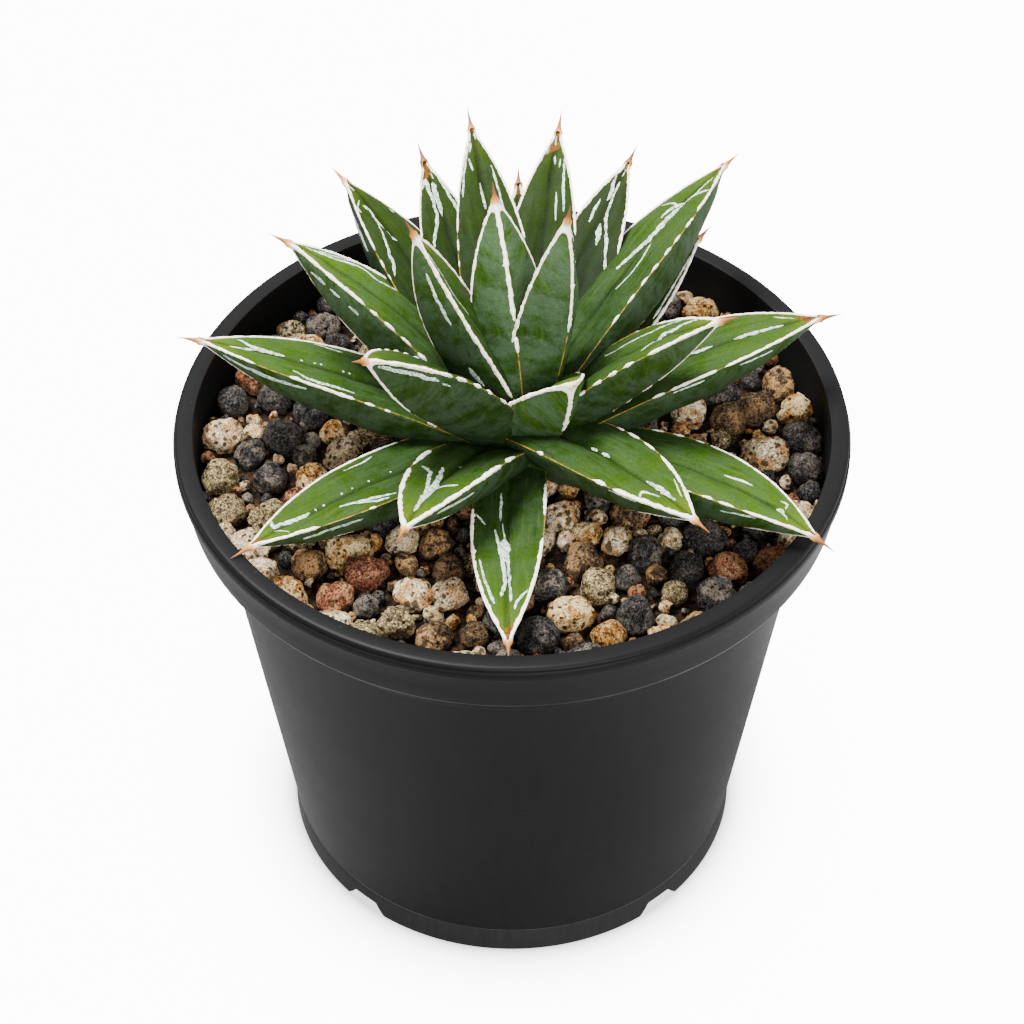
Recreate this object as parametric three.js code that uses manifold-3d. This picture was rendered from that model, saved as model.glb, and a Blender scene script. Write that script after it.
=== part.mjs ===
// Potted agave: a compact rosette of stiff keeled leaves in a round nursery pot topped with gravel.
// Millimetres, +Z up. The origin is the centre of the pot's foot, on the surface it stands on.
import * as THREE from "three";
import { mergeVertices } from "three/addons/utils/BufferGeometryUtils.js";
import Module from "manifold-3d";

const wasm = await Module();
wasm.setup();

// ---- Driving dimensions ----
const POT_HEIGHT = 122.8;
const RIM_RADIUS = 75.5;
const WALL = 1.5;
const LIP_HEIGHT = 3.5;
const FLOOR_TOP = 6.5;
const GRAVEL_BED_TOP = 110.3;
const SOIL_TOP = 103.5;
const GAP = 0.4; // clearance between neighbouring solids
const TIDY = 0.1; // edges shorter than this are closed up after a cut
const MERGE = 1e-3; // corners closer than this are one
const STEM_RADIUS = 8;
const STEM_FOOT = 90;
const ROSETTE_X = 1.5; // the plant stands this far right of the pot's axis
const POT_SIDES = 48;

// Outer and inner pot profile as [radius, height], from the foot up: foot ring, straight wall, a
// flare under the rim band, the band and its lip.
const FOOT_RADIUS = 54.1;
const FOOT_INNER_RADIUS = 51.2;
const FOOT_TOP = [53.5, 6.5];
const WALL_FOOT = [53.9, 6.9];
const WALL_TOP = [66.6, 101];
const FLARE_FOOT = [68.6, 104];
const FLARE_TOP = [72.4, 108.9];
const BAND_FOOT = [73.3, 109.6];
const BAND_TOP = [75, 118.9];
const INNER_WALL = [
  [71.1, POT_HEIGHT - 0.1],
  [70.5, 110.4],
  [64.7, 102.2],
  [52, FLOOR_TOP],
];

// Four drainage notches in the foot ring, each with a hole through the floor behind it.
const NOTCH_AZIMUTHS = [-139, -41, 41, 139];
const NOTCH_FOOT_WIDTH = 11;
const NOTCH_TOP_WIDTH = 7;
const NOTCH_HEIGHT = 3.2;
const DRAIN_RADIUS = 4;
const DRAIN_CIRCLE = 40;

// Leaf form, shared by every leaf. Shares are of the leaf's length or half width.
const SPINE_SHARE = 0.07;
const WIDEST_AT = 0.38;
const BASE_WIDTH_SHARE = 0.55;
const TAPER_POWER = 2.5;
const KEEL_SHARE = 1.05;
const GROOVE_SHARE = 0.12;
const CAP_RADIUS = 0.9;
const LEAF_STATIONS = [0, 0.13, 0.27, 0.4, 0.53, 0.66, 0.77, 0.86, 0.93];
const MARCH_STEPS = 60;

// Each leaf: compass direction (0 faces -Y, 90 faces +X), height of its root above the rim, root's
// distance from the plant's axis, rise at the root, change of rise towards the tip, length, half
// width, roll about its own midline and sideways bend. Degrees and millimetres, outer whorl first.
const LEAVES = [
  [-6, -6, 4, 14, -22, 67, 8, 0, 9],
  [63, -5, 6, 29, -47, 77, 11.5, -16, -13],
  [-55, -2, 5, 14, -24, 71, 10.5, 14, 1],
  [102, -3, 6, 35, -35, 72, 12, -12, -1],
  [-96, -4, 6, 30, -24, 74, 11, 15, 2],
  [180, -9, 5, 29, -10, 68, 6.5, 0, 0],
  [137, -8, 5, 31, -16, 65, 8, -5, -1],
  [-144, -4, 5, 46, -28, 71, 12, 24, 11],
  [140, 3, 5, 38, -38, 79, 12, -32, -1],
  [39, 0, 2, 32, -45, 61, 10.5, -10, 5],
  [-31, -5, 4, 43, -49, 58, 10, 14, 9],
  [-172, -6, 4, 39, -13, 77, 8.5, 0, 4],
  [173, -6, 4, 38, -11, 76, 8.5, 0, -3],
  [157, -4, 4, 40, -25, 72, 8, -1, -2],
  [-158, -5, 4, 36, -8, 70, 8.5, 2, -1],
  [-113, -2, 5, 58, -41, 68, 11.5, 22, 9],
  [83, -1, 4, 62, -42, 59, 9.5, -13, -4],
  [-58, 2, 3, 62, -35, 61, 11, 12, 17],
  [-173, -1, 2, 68, -10, 44, 8, 0, 0],
  [60, -5, -8, 57, -20, 44, 11, -4, -35],
  [-99, 2, -3, 66, -8, 59, 10.5, 17, -1],
  [124, 0, 0, 77, -1, 57, 8, -85, 1],
  [17, -2, 2, 107, 9, 59, 8.5, -7, 0],
];

// Gravel stones, placed by a seeded rule.
const STONE_TRIES = 900;
const STONE_RADII = [3.4, 5.2];
const STONE_SINK = 0.15; // share of its radius that a stone's centre stands above the bed
const STEM_CLEARING = 13;

const FINISHES = {
  pot: { color: 0x2c2d2e, roughness: 0.6, metalness: 0 },
  soil: { color: 0x2e221a, roughness: 0.95, metalness: 0 },
  gravel: { color: 0x8f7a63, roughness: 0.95, metalness: 0 },
  stem: { color: 0x8d9a5c, roughness: 0.7, metalness: 0 },
  leaf: { color: 0x35592b, roughness: 0.5, metalness: 0 },
};

// ---- Helpers ----
const radians = THREE.MathUtils.degToRad;

function seededRandom(seed) {
  let state = seed;
  return () => {
    state = (state * 1664525 + 1013904223) % 4294967296;
    return state / 4294967296;
  };
}

function toSolid(geometry) {
  const bare = geometry.clone();
  bare.deleteAttribute("normal");
  bare.deleteAttribute("uv");
  const merged = mergeVertices(bare, MERGE);
  return new wasm.Manifold(new wasm.Mesh({
    numProp: 3,
    vertProperties: new Float32Array(merged.attributes.position.array),
    triVerts: new Uint32Array(merged.index.array),
  }));
}

function toGeometry(solid) {
  const data = solid.getMesh();
  const geometry = new THREE.BufferGeometry();
  geometry.setAttribute("position", new THREE.BufferAttribute(data.vertProperties, 3));
  geometry.setIndex(new THREE.BufferAttribute(data.triVerts, 1));
  geometry.computeVertexNormals();
  return geometry;
}

// The largest body of a cut solid, once its short edges are closed up.
function largestPiece(solid) {
  const pieces = toSolid(toGeometry(solid.simplify(TIDY))).decompose();
  return pieces.reduce((a, b) => (b.volume() > a.volume() ? b : a));
}

function toMesh(solid, name, finish) {
  const mesh = new THREE.Mesh(toGeometry(solid), new THREE.MeshStandardMaterial(finish));
  mesh.name = name;
  return mesh;
}

// A profile of [radius, height] points turned about the Z axis.
function turned(profile, sides = POT_SIDES) {
  const points = profile.map(([r, z]) => new THREE.Vector2(r, z));
  return toSolid(new THREE.LatheGeometry(points, sides).rotateX(Math.PI / 2));
}

// The pot's inner radius at a height.
function innerRadius(z) {
  for (let i = 1; i < INNER_WALL.length; i += 1) {
    const [r1, z1] = INNER_WALL[i];
    const [r0, z0] = INNER_WALL[i - 1];
    if (z >= z1) return r1 + ((r0 - r1) * (z - z1)) / (z0 - z1);
  }
  return INNER_WALL[INNER_WALL.length - 1][0];
}

// ---- Pot ----
function potShell() {
  const outer = [
    [0, FLOOR_TOP - WALL],
    [FOOT_INNER_RADIUS - 0.8, FLOOR_TOP - WALL],
    [FOOT_INNER_RADIUS, 0],
    [FOOT_RADIUS, 0],
    FOOT_TOP,
    WALL_FOOT,
    WALL_TOP,
    FLARE_FOOT,
    FLARE_TOP,
    BAND_FOOT,
    BAND_TOP,
    [RIM_RADIUS, POT_HEIGHT - LIP_HEIGHT],
    [RIM_RADIUS, POT_HEIGHT - 1.2],
    [RIM_RADIUS - 1.3, POT_HEIGHT],
  ];
  const floorCentre = [0, FLOOR_TOP];
  return turned([...outer, ...INNER_WALL, floorCentre]);
}

// A trapezoid through the foot ring, pointing outwards along an azimuth.
function notch(azimuth) {
  const shape = new THREE.Shape([
    new THREE.Vector2(-NOTCH_FOOT_WIDTH / 2 - 0.5, -1),
    new THREE.Vector2(NOTCH_FOOT_WIDTH / 2 + 0.5, -1),
    new THREE.Vector2(NOTCH_TOP_WIDTH / 2, NOTCH_HEIGHT),
    new THREE.Vector2(-NOTCH_TOP_WIDTH / 2, NOTCH_HEIGHT),
  ]);
  const block = new THREE.ExtrudeGeometry(shape, { depth: 12, bevelEnabled: false });
  block.rotateX(Math.PI / 2).translate(0, -FOOT_RADIUS + 8, 0);
  return toSolid(block.rotateZ(radians(azimuth)));
}

function drainHole(azimuth, circle) {
  const hole = new THREE.CylinderGeometry(DRAIN_RADIUS, DRAIN_RADIUS, 4 * WALL, 16);
  hole.rotateX(Math.PI / 2).translate(0, -circle, FLOOR_TOP - WALL / 2);
  return toSolid(hole.rotateZ(radians(azimuth)));
}

function buildPot() {
  let pot = potShell().subtract(drainHole(0, 0));
  for (const azimuth of NOTCH_AZIMUTHS) {
    pot = pot.subtract(notch(azimuth)).subtract(drainHole(azimuth, DRAIN_CIRCLE));
  }
  return pot;
}

// ---- Soil and stem ----
function stemSolid(grow = 0) {
  const r = STEM_RADIUS + grow;
  const top = POT_HEIGHT - 7 + grow;
  return turned([
    [0, STEM_FOOT - grow],
    [r * 0.5, STEM_FOOT - grow],
    [r * 0.9, STEM_FOOT + 6],
    [r, STEM_FOOT + 14],
    [r, top - 8],
    [r * 0.75, top - 3],
    [r * 0.35, top],
    [0, top],
  ], 20).translate(ROSETTE_X, 0, 0);
}

function buildSoil() {
  const foot = FLOOR_TOP + GAP;
  const fill = turned([
    [0, foot],
    [innerRadius(foot) - GAP, foot],
    [INNER_WALL[2][0] - GAP, INNER_WALL[2][1]],
    [innerRadius(SOIL_TOP) - GAP, SOIL_TOP],
    [0, SOIL_TOP],
  ], 48);
  return fill.subtract(stemSolid(GAP));
}

// ---- Gravel ----
// A rounded, slightly irregular stone with few faces.
function stone(radius, random) {
  const form = new THREE.IcosahedronGeometry(radius, 0);
  form.scale(0.9 + 0.25 * random(), 0.9 + 0.25 * random(), 0.8 + 0.2 * random());
  form.rotateX(random() * Math.PI).rotateZ(random() * Math.PI);
  return form;
}

function buildGravel(leafBlock) {
  const random = seededRandom(7);
  const foot = SOIL_TOP + GAP;
  const placed = [];
  const solids = [turned([
    [0, foot],
    [innerRadius(foot) - GAP, foot],
    [innerRadius(GRAVEL_BED_TOP) - GAP, GRAVEL_BED_TOP],
    [0, GRAVEL_BED_TOP],
  ], 48)];
  for (let i = 0; i < STONE_TRIES; i += 1) {
    const radius = STONE_RADII[0] + (STONE_RADII[1] - STONE_RADII[0]) * (1 - i / STONE_TRIES);
    const limit = innerRadius(GRAVEL_BED_TOP) - GAP - radius * 1.12;
    const reach = STEM_CLEARING + (limit - STEM_CLEARING) * Math.sqrt(random());
    const turn = random() * 2 * Math.PI;
    const x = reach * Math.cos(turn);
    const y = reach * Math.sin(turn);
    const free = placed.every((s) => Math.hypot(x - s.x, y - s.y) > 0.86 * (radius + s.radius));
    if (!free) continue;
    placed.push({ x, y, radius });
    const form = stone(radius, random);
    solids.push(toSolid(form.translate(x, y, GRAVEL_BED_TOP + STONE_SINK * radius)));
  }
  const bed = wasm.Manifold.union(solids);
  return largestPiece(bed.subtract(leafBlock).subtract(stemSolid(GAP)));
}

// ---- Leaves ----
// Points and axes along a leaf's midline: along, up (towards the axis) and side.
function midline([azimuth, lift, reach, rise, curl, length, , roll, swing]) {
  const stations = [];
  const start = radians(azimuth);
  const point = new THREE.Vector3(
    ROSETTE_X + reach * Math.sin(start), -reach * Math.cos(start), POT_HEIGHT + lift);
  const heading = (share) => {
    const a = radians(azimuth + swing * share);
    const e = radians(rise + curl * share);
    const along = new THREE.Vector3(
      Math.sin(a) * Math.cos(e), -Math.cos(a) * Math.cos(e), Math.sin(e));
    const up = new THREE.Vector3(
      -Math.sin(a) * Math.sin(e), Math.cos(a) * Math.sin(e), Math.cos(e));
    up.applyAxisAngle(along, radians(roll));
    return { along, up, side: new THREE.Vector3().crossVectors(along, up) };
  };
  for (let i = 0; i <= MARCH_STEPS; i += 1) {
    stations.push({ point: point.clone(), ...heading(i / MARCH_STEPS) });
    point.addScaledVector(heading((i + 0.5) / MARCH_STEPS).along, length / MARCH_STEPS);
  }
  return (share) => {
    const at = Math.min(Math.max(share, 0), 1) * MARCH_STEPS;
    const low = Math.min(Math.floor(at), MARCH_STEPS - 1);
    const near = stations[low];
    return { ...near, point: near.point.clone().lerp(stations[low + 1].point, at - low) };
  };
}

// Half width as a share of the widest, from the clasping base to the cap.
function widthShare(share) {
  const x = Math.min(share / (1 - SPINE_SHARE), 1);
  const base = BASE_WIDTH_SHARE
    + (1 - BASE_WIDTH_SHARE) * Math.sin((Math.min(x / WIDEST_AT, 1) * Math.PI) / 2);
  if (x <= WIDEST_AT) return base;
  return 1 - (1 - (1 - x) / (1 - WIDEST_AT)) ** TAPER_POWER;
}

// The eight corners of a leaf's section: flat grooved face above, convex keeled face below.
function section(halfWidth, grow) {
  const w = halfWidth + grow;
  const keel = KEEL_SHARE * halfWidth + grow;
  return [
    [w, 0],
    [0.5 * w, 0.05 * halfWidth + grow],
    [0, -GROOVE_SHARE * halfWidth + grow],
    [-0.5 * w, 0.05 * halfWidth + grow],
    [-w, 0],
    [-0.56 * w, -0.64 * keel],
    [0, -keel],
    [0.56 * w, -0.64 * keel],
  ];
}

function leafSolid(leaf, grow = 0) {
  const along = midline(leaf);
  const halfWidth = leaf[6];
  const corners = [];
  for (const share of LEAF_STATIONS) {
    const { point, up, side } = along(share);
    const w = Math.max(halfWidth * widthShare(share), CAP_RADIUS);
    for (const [across, above] of section(w, grow)) {
      corners.push(point.clone().addScaledVector(side, across).addScaledVector(up, above));
    }
  }
  const count = 8;
  const faces = [];
  for (let row = 0; row + 1 < LEAF_STATIONS.length; row += 1) {
    for (let i = 0; i < count; i += 1) {
      const a = row * count + i;
      const b = row * count + ((i + 1) % count);
      faces.push(a, a + count, b, b, a + count, b + count);
    }
  }
  const root = corners.length;
  corners.push(along(0).point.clone());
  const tip = corners.length;
  corners.push(along(1).point.clone().addScaledVector(along(1).along, grow));
  const last = (LEAF_STATIONS.length - 1) * count;
  for (let i = 0; i < count; i += 1) {
    const next = (i + 1) % count;
    faces.push(root, i, next);
    faces.push(last + i, tip, last + next);
  }
  return new wasm.Manifold(new wasm.Mesh({
    numProp: 3,
    vertProperties: new Float32Array(corners.flatMap((c) => [c.x, c.y, c.z])),
    triVerts: new Uint32Array(faces),
  }));
}

// ---- Assembly ----
const group = new THREE.Group();
group.add(toMesh(buildPot(), "pot", FINISHES.pot));
group.add(toMesh(buildSoil(), "soil", FINISHES.soil));
group.add(toMesh(stemSolid(), "stem", FINISHES.stem));

// Inner leaves keep their shape, and each outer one is cut back to clasp those inside it.
const grown = LEAVES.map((leaf) => leafSolid(leaf, GAP));
LEAVES.forEach((leaf, index) => {
  const inside = [stemSolid(GAP), ...grown.slice(index + 1)];
  const trimmed = leafSolid(leaf).subtract(wasm.Manifold.union(inside));
  const name = `leaf_${String(index + 1).padStart(2, "0")}`;
  group.add(toMesh(largestPiece(trimmed), name, FINISHES.leaf));
});
group.add(toMesh(buildGravel(wasm.Manifold.union(grown)), "gravel", FINISHES.gravel));

export default group;
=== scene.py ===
"""Looks of the potted agave: a rosette of white-edged leaves in a black nursery pot topped with gravel.

Sizes are in millimetres and are turned into metres where a mesh is made. Places follow the frame:
the rim's height and the stem's axis are read from it.
"""
import math
import random

import bmesh
import bpy
import numpy as np
from mathutils import Matrix, Vector, noise


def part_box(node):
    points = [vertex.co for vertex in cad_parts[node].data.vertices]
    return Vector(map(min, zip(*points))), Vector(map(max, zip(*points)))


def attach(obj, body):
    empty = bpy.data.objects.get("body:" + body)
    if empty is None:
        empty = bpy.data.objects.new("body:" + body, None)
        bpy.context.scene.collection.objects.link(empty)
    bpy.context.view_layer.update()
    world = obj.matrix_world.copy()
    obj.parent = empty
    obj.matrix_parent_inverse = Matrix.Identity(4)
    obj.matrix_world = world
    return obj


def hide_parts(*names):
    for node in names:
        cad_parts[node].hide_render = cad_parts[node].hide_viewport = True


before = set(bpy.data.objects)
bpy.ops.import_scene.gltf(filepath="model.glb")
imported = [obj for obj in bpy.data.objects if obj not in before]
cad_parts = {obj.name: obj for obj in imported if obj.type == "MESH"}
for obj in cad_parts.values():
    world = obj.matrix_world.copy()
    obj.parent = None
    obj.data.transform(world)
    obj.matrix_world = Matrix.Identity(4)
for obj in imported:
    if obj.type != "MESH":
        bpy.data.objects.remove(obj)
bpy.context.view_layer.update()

MM = 0.001
RIM_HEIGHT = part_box("pot")[1][2] / MM
STEM_LOW, STEM_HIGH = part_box("stem")
PLANT_X = (STEM_LOW[0] + STEM_HIGH[0]) / 2 / MM


# ---------------------------------------------------------------- shader helpers
class Nodes:
    """A material's node tree, built by short calls."""

    def __init__(self, name):
        self.material = bpy.data.materials.new(name)
        self.material.use_nodes = True
        self.tree = self.material.node_tree
        self.shader = self.tree.nodes["Principled BSDF"]

    def add(self, kind, inputs=None, **settings):
        node = self.tree.nodes.new(kind)
        for key, value in settings.items():
            setattr(node, key, value)
        for key, value in (inputs or {}).items():
            self.feed(node.inputs[key], value)
        return node

    def feed(self, socket, value):
        if isinstance(value, bpy.types.NodeSocket):
            self.tree.links.new(value, socket)
        elif isinstance(value, tuple) and len(value) == 3 and socket.type == "RGBA":
            socket.default_value = (*value, 1)
        else:
            socket.default_value = value

    def math(self, operation, a, b=0.0, clamp=False):
        node = self.add("ShaderNodeMath", {0: a, 1: b}, operation=operation, use_clamp=clamp)
        return node.outputs[0]

    def times(self, a, b):
        return self.math("MULTIPLY", a, b)

    def plus(self, a, b):
        return self.math("ADD", a, b)

    def minus(self, a, b, clamp=False):
        return self.math("SUBTRACT", a, b, clamp)

    def mix(self, share, a, b):
        node = self.add("ShaderNodeMix", data_type="RGBA")
        self.feed(node.inputs[0], share)
        self.feed(node.inputs[6], a)
        self.feed(node.inputs[7], b)
        return node.outputs[2]

    def blend(self, share, a, b):
        node = self.add("ShaderNodeMix", data_type="FLOAT")
        self.feed(node.inputs[0], share)
        self.feed(node.inputs[2], a)
        self.feed(node.inputs[3], b)
        return node.outputs[0]

    def scale(self, colour, level):
        """The colour made darker or lighter by a level."""
        return self.add("ShaderNodeVectorMath", {0: colour, 3: level}, operation="SCALE").outputs[0]

    def ramp(self, value, low, high):
        """0 below low, 1 above high, smooth between."""
        return self.add("ShaderNodeMapRange", {"Value": value, "From Min": low, "From Max": high},
                        interpolation_type="SMOOTHSTEP").outputs[0]

    def value(self, name):
        return self.add("ShaderNodeAttribute", attribute_name=name).outputs["Fac"]

    def axes(self, place):
        return self.add("ShaderNodeSeparateXYZ", {0: place}).outputs

    def place(self, stretch=(1, 1, 1), source="Object"):
        """Object coordinates in millimetres, or the UV map's millimetres."""
        scale = 1 / MM if source == "Object" else 1.0
        coord = self.add("ShaderNodeTexCoord").outputs[source]
        return self.add("ShaderNodeMapping", {
            "Vector": coord, "Scale": tuple(scale * s for s in stretch)}).outputs[0]

    def noise(self, vector, scale, detail=3.0, rough=0.5, distort=0.0):
        return self.add("ShaderNodeTexNoise", {
            "Vector": vector, "Scale": scale, "Detail": detail, "Roughness": rough,
            "Distortion": distort}).outputs["Fac"]

    def cells(self, vector, scale, feature="F1"):
        return self.add("ShaderNodeTexVoronoi", {"Vector": vector, "Scale": scale},
                        feature=feature).outputs["Distance"]

    def bump(self, height, strength, distance, below=None):
        inputs = {"Height": height, "Strength": strength, "Distance": distance * MM}
        if below is not None:
            inputs["Normal"] = below
        return self.add("ShaderNodeBump", inputs).outputs[0]

    def finish(self, colour, roughness, normal=None, **constants):
        self.feed(self.shader.inputs["Base Color"], colour)
        self.feed(self.shader.inputs["Roughness"], roughness)
        if normal is not None:
            self.feed(self.shader.inputs["Normal"], normal)
        for name, value in constants.items():
            self.shader.inputs[name.replace("_", " ")].default_value = value
        return self.material


# ---------------------------------------------------------------- mesh helpers
def make_piece(name, points, faces, materials, stands_for, face_material=None, attributes=None,
               uv=None):
    """A smooth mesh piece from points in millimetres. attributes: name to one number for each point."""
    mesh = bpy.data.meshes.new(name)
    mesh.from_pydata([tuple(c * MM for c in p) for p in points], [], [tuple(f) for f in faces])
    for material in materials:
        mesh.materials.append(material)
    mesh.shade_smooth()
    if face_material is not None:
        mesh.polygons.foreach_set("material_index", face_material)
    for key, values in (attributes or {}).items():
        mesh.attributes.new(key, "FLOAT", "POINT").data.foreach_set("value", values)
    if uv is not None:
        layer = mesh.uv_layers.new(name="UVMap")
        corner = np.empty(len(mesh.loops), dtype=int)
        mesh.loops.foreach_get("vertex_index", corner)
        layer.data.foreach_set("uv", np.asarray(uv, dtype=float)[corner].ravel())
    mesh.update()
    piece = bpy.data.objects.new(name, mesh)
    bpy.context.collection.objects.link(piece)
    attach(piece, "root")
    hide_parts(stands_for)
    return piece


def grid_faces(rows, columns, closed, first=0):
    """Quads of a grid of points, row after row, closed round each row or not."""
    faces = []
    for row in range(rows - 1):
        for column in range(columns if closed else columns - 1):
            a = first + row * columns + column
            b = first + row * columns + (column + 1) % columns
            faces.append((a, b, b + columns, a + columns))
    return faces


def lathe_points(profile, sides):
    """Points of a profile of (radius, height) turned about the Z axis."""
    turns = [2 * math.pi * i / sides for i in range(sides)]
    return [(r * math.sin(a), -r * math.cos(a), z) for r, z in profile for a in turns]


def smooth_step(x, low, high):
    x = min(max((x - low) / (high - low), 0.0), 1.0)
    return x * x * (3 - 2 * x)


# ---------------------------------------------------------------- camera, light and floor
CAMERA_BACK = 488.0
CAMERA_HEIGHT = 580.6
CAMERA_PITCH = 44.94
CAMERA_LENS = 105.47
AMBIENT = 1.05
STAGE_HALF_SIZE = 6.0
STAGE_GLOW = 13.0
STAGE_PAINT = 0.93
FLOOR_DROP = 0.2
BOUNCE_PAINT = 0.3
BOUNCE_SPAN = (-30.0, 110.0)
BOUNCE_LEVELS = (0.92, 1.6)
SHADOW_DEPTH = 0.88
SHADOW_REACH = 7.5
PANELS = {
    # name: place in metres, width and height in metres, watts
    "key": ((-0.35, 0.20, 1.20), (0.40, 0.40), 50.0),
    "fill": ((0.30, -1.00, 0.70), (0.8, 0.6), 20.0),
    "back": ((0.25, 0.90, 0.75), (1.2, 0.5), 3.0),
    "side": ((1.00, 0.10, 0.55), (0.5, 0.9), 7.0),
}


def make_camera():
    data = bpy.data.cameras.new("camera")
    data.lens = CAMERA_LENS
    data.sensor_width = 36
    camera = bpy.data.objects.new("camera", data)
    camera.location = (0, -CAMERA_BACK * MM, CAMERA_HEIGHT * MM)
    camera.rotation_euler = (math.radians(90 - CAMERA_PITCH), 0, 0)
    bpy.context.collection.objects.link(camera)
    bpy.context.scene.camera = camera


def add_panel(name, place, size, watts):
    data = bpy.data.lights.new(name, "AREA")
    data.shape = "RECTANGLE"
    data.size, data.size_y = size
    data.energy = watts
    panel = bpy.data.objects.new(name, data)
    panel.location = place
    aim = Vector((0, 0, RIM_HEIGHT * MM))
    panel.rotation_euler = (aim - Vector(place)).to_track_quat("-Z", "Y").to_euler()
    bpy.context.collection.objects.link(panel)


def stage_piece(name, form, material, seen):
    """A floor or backdrop. One is seen and softly glows, and one only bounces light."""
    mesh = bpy.data.meshes.new(name)
    form.to_mesh(mesh)
    form.free()
    mesh.materials.append(material)
    piece = bpy.data.objects.new(name, mesh)
    bpy.context.collection.objects.link(piece)
    piece.visible_camera = seen
    piece.visible_diffuse = not seen
    piece.visible_glossy = not seen
    piece.visible_shadow = not seen


def stage_paint(nodes, place, level):
    """Grey paint with a faint cloud in it."""
    cloud = nodes.noise(place, 0.02, 2.0)
    return nodes.mix(cloud, (level,) * 3, (level + 0.02,) * 3)


def stage_material(name):
    """Pale glowing paint, with a painted contact shadow: its glow is lower close round the pot's foot."""
    nodes = Nodes(name)
    place = nodes.place()
    paint = stage_paint(nodes, place, STAGE_PAINT)
    reach = nodes.add("ShaderNodeVectorMath", {0: place}, operation="LENGTH").outputs["Value"]
    away = nodes.math("MAXIMUM", nodes.minus(reach, FOOT_RADIUS), 0.0)
    shade = nodes.math("EXPONENT", nodes.math("DIVIDE", away, -SHADOW_REACH))
    level = nodes.minus(1.0, nodes.times(shade, SHADOW_DEPTH), clamp=True)
    nodes.feed(nodes.shader.inputs["Emission Strength"], nodes.times(level, STAGE_GLOW))
    return nodes.finish(paint, 0.9, Specular_IOR_Level=0.1, Emission_Color=(1, 1, 1, 1))


def bounce_material(name):
    """Grey paint that bounces light up at the pot, more of it from the right."""
    nodes = Nodes(name)
    place = nodes.place()
    right = nodes.ramp(nodes.axes(place)[0], *BOUNCE_SPAN)
    paint = nodes.scale(stage_paint(nodes, place, BOUNCE_PAINT), nodes.blend(right, *BOUNCE_LEVELS))
    return nodes.finish(paint, 0.9, Specular_IOR_Level=0.1)


def make_studio():
    world = bpy.data.worlds.new("studio")
    world.use_nodes = True
    world.node_tree.nodes["Background"].inputs["Color"].default_value = (1, 1, 1, 1)
    world.node_tree.nodes["Background"].inputs["Strength"].default_value = AMBIENT
    bpy.context.scene.world = world
    for name, (place, size, watts) in PANELS.items():
        add_panel(name, place, size, watts)
    for name, paint, seen in (("floor", stage_material, True), ("floor_bounce", bounce_material, False)):
        form = bmesh.new()
        bmesh.ops.create_grid(form, x_segments=1, y_segments=1, size=STAGE_HALF_SIZE,
                              matrix=Matrix.Translation((0, 0, -FLOOR_DROP * MM)))
        stage_piece(name, form, paint(name), seen)
    dome = bmesh.new()
    bmesh.ops.create_uvsphere(dome, u_segments=64, v_segments=32, radius=STAGE_HALF_SIZE)
    stage_piece("backdrop", dome, stage_material("backdrop"), True)


# ---------------------------------------------------------------- pot
POT_SIDES = 192
FOOT_RADIUS = 54.1
FOOT_INNER_RADIUS = 51.2
FLOOR_TOP = 6.5
FLOOR_THICKNESS = 1.5
POT_OUTER = [
    (FOOT_RADIUS, 0.0), (FOOT_RADIUS, 0.4), (53.75, 5.6), (53.5, 6.3), (53.4, 6.55), (53.5, 6.8),
    (53.8, 6.92), (53.95, 7.1), (54.05, 7.5), (58.3, 39.0), (62.45, 70.0), (66.5, 100.0),
    (66.75, 101.1), (67.2, 102.1), (68.6, 104.0), (71.6, 107.8), (72.6, 108.9), (73.1, 109.25),
    (73.4, 109.5), (73.5, 109.9), (74.2, 114.0), (74.95, 118.7), (75.1, 119.05), (75.35, 119.3),
    (75.5, 119.7), (75.5, 120.9), (75.4, 121.25), (75.1, 121.45), (75.0, 121.62), (75.03, 121.8),
    (75.14, 122.05), (75.08, 122.35), (74.85, 122.6), (74.5, 122.75), (74.0, 122.8),
]
POT_INNER = [
    (71.35, 122.8), (71.1, 122.72), (71.0, 122.4), (70.9, 121.0), (70.5, 110.4), (64.7, 102.2),
    (63.9, 98.0), (58.4, 54.0), (52.7, 8.2), (52.1, 7.0), (51.4, FLOOR_TOP),
]
BAND_EDGE = 109.5
LIP_EDGE = 119.2
FOOT_EDGE = 7.05
NOTCH_AZIMUTHS = (-139, -41, 41, 139)
NOTCH_FOOT_WIDTH = 11.0
NOTCH_TOP_WIDTH = 7.0
NOTCH_HEIGHT = 3.2
NOTCH_ROUND = 1.2
DRAIN_RADIUS = 4.0
DRAIN_CIRCLE = 40.0
DRAIN_SIDES = 40
SHARP_ANGLE = 38
# Painted highlights: thin lighter lines along the band's foot, the lip and the pot's foot, where the edges
# catch the light.
PAINTED_HIGHLIGHT_LINES = (
    # height, least radius, half width, how light
    (BAND_EDGE, 72.6, 0.36, 0.17),
    (LIP_EDGE, 74.0, 0.24, 0.035),
    (FOOT_EDGE, 53.5, 0.45, 0.13),
)


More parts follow.
